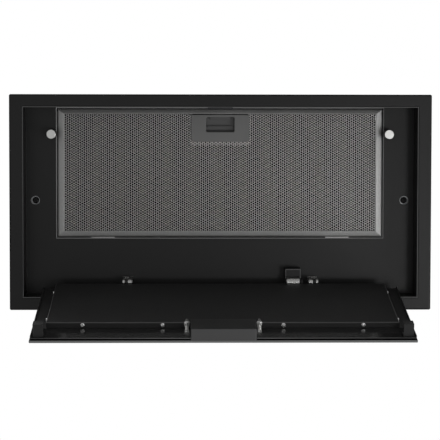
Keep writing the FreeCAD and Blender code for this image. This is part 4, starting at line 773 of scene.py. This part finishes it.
def make_filter_frame():
    """Four drawn bars mitred at the corners, the front one pierced for the latch bolt; two tabs."""
    half_width, front, rear, floor = 0.2076, -0.117, 0.047, 0.038
    side_wide, front_wide, rear_wide, joint, half_slot = 0.0083, 0.0065, 0.0076, 0.00012, 0.0134
    tab_middle, tab_low, tab_high = 0.15, 0.0396, 0.0408
    # Outlines: share of the bar's width from its outer side, height above the floor in mm.
    section = [
        (0.0, 9.0), (0.0, 2.2), (0.015, 1.6), (0.05, 1.35), (0.3, 0.95), (0.6, 0.47),
        (0.88, 0.03), (0.95, 0.0), (1.0, 0.5), (1.0, 9.0)]
    under_slot = [(0.0, 1.8)] + section[2:9] + [(1.0, 1.8)]
    over_slot = [(0.0, 9.0), (0.0, 5.0), (1.0, 5.0), (1.0, 9.0)]
    tab_plan = [
        (-15, 46), (15, 46), (15, 52), (14.4, 53.4), (13, 54), (-13, 54), (-14.4, 53.4),
        (-15, 52)]
    shape = bmesh.new()

    def side_x(t):
        return half_width - t * side_wide

    def front_y(t):
        return front + t * front_wide

    def rear_y(t):
        return rear - t * rear_wide

    def bar(outline, start, end):
        add_tube(shape, [
            [(*spot(t), floor + z * MM) for t, z in outline] for spot in (start, end)])

    bar(section, lambda t: (joint - side_x(t), front_y(t)), lambda t: (-half_slot, front_y(t)))
    bar(section, lambda t: (half_slot, front_y(t)), lambda t: (side_x(t) - joint, front_y(t)))
    for outline in (under_slot, over_slot):
        bar(outline, lambda t: (-half_slot, front_y(t)), lambda t: (half_slot, front_y(t)))
    bar(section, lambda t: (joint - side_x(t), rear_y(t)),
        lambda t: (side_x(t) - joint, rear_y(t)))
    for way in (-1, 1):
        bar(section, lambda t: (way * side_x(t), front_y(t) + joint),
            lambda t: (way * side_x(t), rear_y(t) - joint))
        add_tube(shape, [
            [(way * tab_middle + x * MM, y * MM, z) for x, y in tab_plan]
            for z in (tab_low, tab_high)])
    return new_piece(
        "filter_frame_bars", close_mesh(shape, "filter_frame_bars"), "filter",
        "filter_aluminium", "filter_frame")


make_filter_frame()


# ---- panel pieces ----

def make_glass():
    """The pane with its ground rim."""
    arris, sharp, flat = 0.5 * MM, 0.5, 0.98
    shape = node_shape("panel_glass")
    edges = [edge for edge in shape.edges if edge.calc_face_angle(0) > sharp]
    bmesh.ops.bevel(
        shape, geom=edges, offset=arris, segments=2, profile=0.5, affect="EDGES",
        clamp_overlap=True)
    mesh = close_mesh(shape, "panel_glass_pane", 20)
    mark(mesh, "ground", lambda face: abs(face.normal.dot(OUT)) < flat)
    return new_piece("panel_glass_pane", mesh, "panel", "black_glass", "panel_glass")


def make_clips():
    """Two sheet clips on the cover's edge: narrow tail, wide bend with a bead, narrow foot."""
    middle, thickness = 42.6, 0.75
    dent, dents_along, dents_across = 0.22, 2.3, 3.1
    # The sheet's path in mm: v, w and half the width there.
    path = [
        (150.3, 0.5, 1.3), (151.0, 0.8, 1.5), (155.0, 0.85, 1.7), (158.4, 0.85, 2.4),
        (160.2, 0.8, 2.8), (160.9, 0.45, 3.0), (161.2, -0.4, 3.1), (161.15, -2.6, 3.1),
        (161.1, -4.6, 2.6), (161.3, -5.6, 2.2), (162.2, -6.0, 2.0), (168.0, -6.0, 2.1),
        (177.2, -6.0, 2.3), (177.9, -6.3, 2.3)]
    # The outer face across: share of the half width, rise in mm.
    across = [
        (-1.0, 0.0), (-0.8, 0.12), (-0.45, 0.05), (-0.25, 0.3), (0.0, 0.42), (0.25, 0.3),
        (0.45, 0.05), (0.8, 0.12), (1.0, 0.0)]
    shape = bmesh.new()
    for way in (-1, 1):
        rings = []
        for k, (v, w, half) in enumerate(path):
            before, after = path[max(k - 1, 0)], path[min(k + 1, len(path) - 1)]
            run = Vector((after[0] - before[0], after[1] - before[1])).normalized()
            up = Vector((-run.y, run.x))
            outline = [
                (u, lift + dent * math.sin(dents_along * k + dents_across * u))
                for u, lift in across]
            outline += [(1.0, -thickness), (-1.0, -thickness)]
            rings.append([
                on_panel(
                    (way * middle + u * half) * MM, (v + up.x * lift) * MM,
                    (w + up.y * lift) * MM)
                for u, lift in outline])
        add_tube(shape, rings)
    return new_piece(
        "control_clips_bent", close_mesh(shape, "control_clips_bent"), "panel",
        SLOT["control_clips"], "control_clips")


def make_sleeve():
    """The silvery sleeve round the cable: rounded end, slanted mouth and a seam across it."""
    radius, bore, flare, mouth_slant = 0.0051, 0.0024, 0.0053, 0.0004
    seam_middle, seam_lean, seam_half, seam_depth = 0.0934, 1.06, 0.00055, 0.0006
    sides, steps, crease = 56, 64, 50
    low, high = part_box("cable_sleeve")
    turns = [2 * math.pi * k / sides for k in range(sides)]

    def ring(share, size, seamed=False):
        """A ring at a share of the length, its far end slanted."""
        spots = []
        for turn in turns:
            end = high[0] - mouth_slant * (1 - math.sin(turn))
            place = low[0] + share * (end - low[0])
            reach = size
            if seamed:
                off = (place - seam_middle - seam_lean * radius * math.cos(turn)) / seam_half
                reach -= seam_depth * max(0.0, 1 - off * off)
            spots.append((
                place, HINGE.y + reach * math.cos(turn), HINGE.z + reach * math.sin(turn)))
        return spots

    rings = [ring(0.0, 0.0032), ring(0.012, 0.0040), ring(0.035, 0.0046), ring(0.07, 0.0050)]
    rings += [ring(0.1 + 0.8 * k / steps, radius, True) for k in range(steps + 1)]
    rings += [ring(0.93, radius), ring(0.955, flare), ring(0.99, flare), ring(1.0, 0.0050)]
    rings += [ring(1.0, 0.0030), ring(0.97, bore), ring(0.0, bore)]
    shape = bmesh.new()
    add_tube(shape, rings, False)
    return new_piece(
        "cable_sleeve_turned", close_mesh(shape, "cable_sleeve_turned", crease),
        BODY["cable_sleeve"], SLOT["cable_sleeve"], "cable_sleeve")


def round_pocket():
    """Rounds the corners of the handle plate's pocket and gives it a sloping rear painted darker as
    shade.
    """
    half, front, rear, low, high = 0.0181, -0.1067, -0.0874, 0.0372, 0.0421
    radius, steps, overlap = 0.0019, 6, 0.0002
    slope_start, slope_low, slope_half = -0.0902, 0.0386, 0.0179
    shape = bmesh.new()
    corners = ((-half, front, 1, 1), (half, front, -1, 1), (half, rear, -1, -1),
               (-half, rear, 1, -1))
    for x, y, way_x, way_y in corners:
        turns = [math.pi / 2 * k / steps for k in range(steps + 1)]
        plan = [(x - way_x * overlap, y - way_y * overlap)] + [
            (x + way_x * radius * (1 - math.cos(turn)), y + way_y * radius * (1 - math.sin(turn)))
            for turn in turns]
        add_tube(shape, [[(*spot, z) for spot in plan] for z in (low, high)])
    past_rear = rear + 0.0001
    slope = [(slope_start, high), (past_rear, slope_low), (past_rear, high)]
    add_tube(shape, [[(x, y, z) for y, z in slope] for x in (-slope_half, slope_half)])
    mesh = close_mesh(shape, "latch_pocket_corners")
    # painted shade on the pocket's sloping rear
    mark(mesh, "second", lambda face: face.normal.y < -0.5 and face.normal.z < -0.5)
    new_piece("latch_pocket_corners", mesh, "filter", "latch_plastic", "latch_plate")


def close_strikers():
    """The end walls of the raised corner plates, on the side of the panel's free edge."""
    inner, outer, low, high = 208.5, 220.3, -6.8, 8.5
    starts, ends = 192.2, 193.3
    plan = [
        (inner, low), (outer, low), (outer, high - 0.4), (outer - 0.5, high),
        (inner + 0.5, high), (inner, high - 0.4)]
    shape = bmesh.new()
    for way in (-1, 1):
        add_tube(shape, [
            [on_panel(way * x * MM, v * MM, w * MM) for x, w in plan] for v in (starts, ends)])
    # the rounded edges take the full second tone: a painted highlight outlining the ends
    round_edges(shape, lambda spot: True, 0.25 * MM, 1, 1.0)
    new_piece(
        "striker_ends", close_mesh(shape, "striker_ends"), "panel", SLOT["strikers"],
        "strikers")


make_glass()
close_strikers()
make_clips()
make_sleeve()
round_pocket()


# ---- screws ----

def screw_blank(head_radius, head_height, shank_radius, shank_length):
    """A pan-head screw with a cross recess; its head's seat is at z = 0 and it looks along +Z."""
    sides, tip_length, thread_start, thread_end = 32, 0.0004, 0.0006, 0.0002
    # Shares of the shank's radius, then of the head's radius and height.
    tip, root, neck, pitch = 0.55, 0.82, 0.9, 0.7
    recess_length, recess_half, recess_corner = 0.56, 0.13, 0.1495
    recess_narrowing, recess_floor = 0.55, 0.35
    # The head's outline: shares of its radius and of its height.
    head = [
        (0.94, 0.0), (1.0, 0.12), (1.0, 0.42), (0.95, 0.68), (0.82, 0.88), (0.64, 1.0)]
    shape = bmesh.new()

    def ring(radius, height):
        turns = [2 * math.pi * k / sides for k in range(sides)]
        return [
            shape.verts.new((radius * math.cos(turn), radius * math.sin(turn), height))
            for turn in turns]

    point = shape.verts.new((0, 0, -shank_length))
    profile = [(shank_radius * tip, -shank_length + tip_length)]
    threads = int(shank_length / (shank_radius * pitch))
    run = (shank_length - thread_start - thread_end) / threads
    for k in range(threads):
        base = -shank_length + thread_start + k * run
        profile += [(shank_radius * root, base), (shank_radius, base + run * 0.5)]
    profile.append((shank_radius * neck, 0.0))
    profile += [(head_radius * wide, head_height * tall) for wide, tall in head]
    rings = [ring(*spot) for spot in profile]
    for k in range(sides):
        shape.faces.new((point, rings[0][(k + 1) % sides], rings[0][k]))
    for low, high in zip(rings, rings[1:]):
        bridge(shape, low, high)

    arm, half, inner = (
        head_radius * share for share in (recess_length, recess_half, recess_corner))
    cross = []
    for quarter in range(4):
        turn = quarter * math.pi / 2
        for x, y in ((arm, -half), (arm, half), (inner, inner)):
            cross.append((
                x * math.cos(turn) - y * math.sin(turn), x * math.sin(turn) + y * math.cos(turn)))
    rim = [shape.verts.new((x, y, head_height)) for x, y in cross]
    floor = [
        shape.verts.new((x * recess_narrowing, y * recess_narrowing, head_height * recess_floor))
        for x, y in cross]
    bridge(shape, floor, rim)
    shape.faces.new(floor)
    edges = []
    for loop in (rings[-1], rim):
        for vert, following in zip(loop, loop[1:] + loop[:1]):
            pair = (vert, following)
            edges.append(shape.edges.get(pair) or shape.edges.new(pair))
    bmesh.ops.triangle_fill(shape, use_beauty=True, use_dissolve=False, edges=edges)
    blank = bpy.data.objects.new("screw_blank", close_mesh(shape, "screw_blank"))
    scene.collection.objects.link(blank)
    return blank


def loose_parts(shape):
    """The points of each separate body of a shape."""
    left = set(shape.verts)
    while left:
        reached = [left.pop()]
        for vert in reached:
            for edge in vert.link_edges:
                other = edge.other_vert(vert)
                if other in left:
                    left.remove(other)
                    reached.append(other)
        yield np.array([vert.co[:] for vert in reached])


def screw_places(name):
    """Where each screw of a node sits: its head's seat, the way the head looks and its sizes."""
    shape = bmesh.new()
    shape.from_mesh(frame["nodes"][name].data)
    bmesh.ops.remove_doubles(shape, verts=shape.verts, dist=WELD)
    spots = []
    for points in loose_parts(shape):
        middle = points.mean(axis=0)
        values, ways = np.linalg.eigh(np.cov((points - middle).T))
        # The screw's axis is the way whose spread differs; the other two are alike.
        gap = [abs(values[1] - values[2]), abs(values[0] - values[2]), abs(values[0] - values[1])]
        axis = ways[:, int(np.argmin(gap))]
        along = (points - middle) @ axis
        off = np.linalg.norm((points - middle) - np.outer(along, axis), axis=1)
        on_head = off > off.max() * 0.9
        if along[on_head].mean() < 0:
            axis, along = -axis, -along
        head = along[on_head]
        shank = off[along < head.min() - 0.01 * MM]
        spots.append({
            "seat": middle + axis * head.min(), "aim": axis, "head_radius": off.max(),
            "head_height": head.max() - head.min(), "shank_radius": shank.max(),
            "shank_length": head.min() - along.min()})
    shape.free()
    return spots


def set_screws(name, seed):
    """Makes all the screws of a node, one kind at a time."""
    measures = ("head_radius", "head_height", "shank_radius", "shank_length")
    made = bmesh.new()
    kinds = {}
    for spot in screw_places(name):
        sizes = tuple(round(float(spot[key]), 5) for key in measures)
        kinds.setdefault(sizes, []).append(spot)
    for sizes, spots in kinds.items():
        blank = screw_blank(*sizes)
        seed_mesh = bpy.data.meshes.new("seats")
        seed_mesh.from_pydata([tuple(spot["seat"]) for spot in spots], [], [])
        aim = seed_mesh.attributes.new("aim", "FLOAT_VECTOR", "POINT")
        for k, spot in enumerate(spots):
            aim.data[k].vector = spot["aim"]
        part = grow(SCREW_TREE, name + "_turned", seed_mesh, {
            "Screw": blank, "Seed": seed, "Material": FINISH[SLOT[name]]})
        made.from_mesh(part)
        bpy.data.objects.remove(blank)
    mesh = bpy.data.meshes.new(name + "_turned")
    made.to_mesh(mesh)
    made.free()
    for face in mesh.polygons:
        face.use_smooth = True
    mesh.set_sharp_from_angle(angle=math.radians(35))
    return new_piece(name + "_turned", mesh, BODY[name], SLOT[name], name)


set_screws("panel_screws", 5)
set_screws("casing_screws", 8)
set_screws("clamp_screws", 2)


# ---- pieces whose CAD shape only needs its edges broken ----

def bend_cover(shape):
    """The cover's folded rims have an outer bend radius, with a painted highlight along it."""
    starts, ends, half_width = 0.0063, 0.1603, 0.2075

    def on_rim(spot):
        v, w = panel_spot(spot)
        return near(w, 0.0) and (near(v, starts, ends) or near(abs(spot.x), half_width))

    # a quarter of the second tone: painted highlight on the rounded rim
    round_edges(shape, on_rim, 0.9 * MM, tone=0.25)


def turn_window(shape):
    """The pan's filter window is turned over; its rounded rim and its walls' lower rim get a
    painted highlight, full on the side walls and fainter at the ends.
    """
    floor, half_width, front, rear = 0.038, 0.23, -0.119, 0.06
    side_walls, side_highlight, end_highlight = 0.2, 1.0, 0.3

    def on_window(spot):
        return near(spot.z, floor) and abs(spot.x) < half_width and front < spot.y < rear

    # painted highlight along the window's rounded rim
    round_edges(shape, on_window, 0.95 * MM, 3, 1.0)
    seconds = shape.faces.layers.float["second"]
    # painted highlight on the walls' lower rim: full on the side walls, fainter at the ends
    for face in shape.faces:
        middle = face.calc_center_median()
        if face.normal.z < -0.9 and middle.z < 0.0:
            face[seconds] = side_highlight if abs(middle.x) > side_walls else end_highlight


def roll_opening(shape):
    """The flange's inner edge is rolled and its outer corners are rounded."""
    underside, inner_x, inner_y, outer_x, outer_y = -0.002, 0.252, 0.124, 0.265, 0.1356
    round_edges(
        shape, lambda spot: near(spot.z, underside) and abs(spot.x) < inner_x
        and abs(spot.y) < inner_y, 0.9 * MM, 3)
    round_edges(
        shape, lambda spot: near(abs(spot.x), outer_x) and near(abs(spot.y), outer_y), 2 * MM)


def highlight_outlet_rim(shape):
    """The cable outlet's lower rim gets a painted highlight."""
    rim = 0.014
    round_edges(shape, lambda spot: near(spot.z, rim), 0.7 * MM, 2, 0.7)


FRONT_STRIP = 0.1615    # the tray is polished from here to the free edge


def fold_tray(shape):
    """The tray's outer rims have a bend radius with a painted highlight along it; its front strip
    is split off.
    """
    underside, front, side = -0.0068, 0.195, 0.2225

    def on_rim(spot):
        v, w = panel_spot(spot)
        return near(w, underside) and (v > front or abs(spot.x) > side)

    # painted highlight on the rounded rims
    round_edges(shape, on_rim, 0.8 * MM, 3, 0.5)
    bmesh.ops.bisect_plane(
        shape, geom=shape.verts[:] + shape.edges[:] + shape.faces[:],
        plane_co=on_panel(0, FRONT_STRIP, 0), plane_no=ALONG)


def darken_top(shape):
    """The control block is darker where it faces the room than on its front."""
    seconds = shape.faces.layers.float.new("second")
    for face in shape.faces:
        face[seconds] = 1.0 if face.normal.dot(OUT) > 0.9 else 0.0


FIRST = {
    "panel_cover": bend_cover, "recess_pan": turn_window, "trim_frame": roll_opening,
    "control_housing": darken_top, "cable_outlet": highlight_outlet_rim, "panel_tray": fold_tray}

MARKED = {
    "panel_tray": ("polish", lambda face: panel_spot(face.center)[0] > FRONT_STRIP),
    # the slider, seen only down the pocket, is painted darker throughout as shade
    "latch_slider": ("second",)}

# How wide the broken edges are, in mm, where that isn't 0.3.
EDGE_WIDTH = {
    "trim_frame": 0.5, "motor_housing": 0.4, "top_plate": 0.4, "duct_collar": 0.4,
    "magnet_discs": 0.4, "hinge_pins": 0.2, "cable_outlet": 0.2, "power_box": 0.4,
    "power_box_cover": 0.4, "cable_gland": 0.4, "control_housing": 0.8, "panel_cover": 0.25,
    "panel_tray": 0.25, "latch_plate": 0.5}

for name in (
        "trim_frame", "recess_pan", "casing_wrap", "side_panel_left", "side_panel_right",
        "motor_housing", "top_plate", "duct_collar", "damper_flap_front", "damper_flap_rear",
        "clamp_bracket_left", "clamp_bracket_right", "clamp_carrier_left",
        "clamp_carrier_right", "clamp_wing_left", "clamp_wing_right", "magnet_posts",
        "magnet_discs", "strike_spring", "hinge_bracket_left", "hinge_bracket_right",
        "hinge_leaf_left", "hinge_leaf_right", "hinge_pins", "cable_outlet", "power_box",
        "power_box_cover", "cable_gland", "control_housing", "strikers", "panel_cover",
        "panel_tray", "latch_plate", "latch_slider"):
    soften(name, EDGE_WIDTH.get(name, 0.3) * MM, FIRST.get(name), MARKED.get(name))

for name, thing in frame["nodes"].items():
    if not thing.hide_render:
        thing.data.materials.clear()
        thing.data.materials.append(FINISH[SLOT[name]])
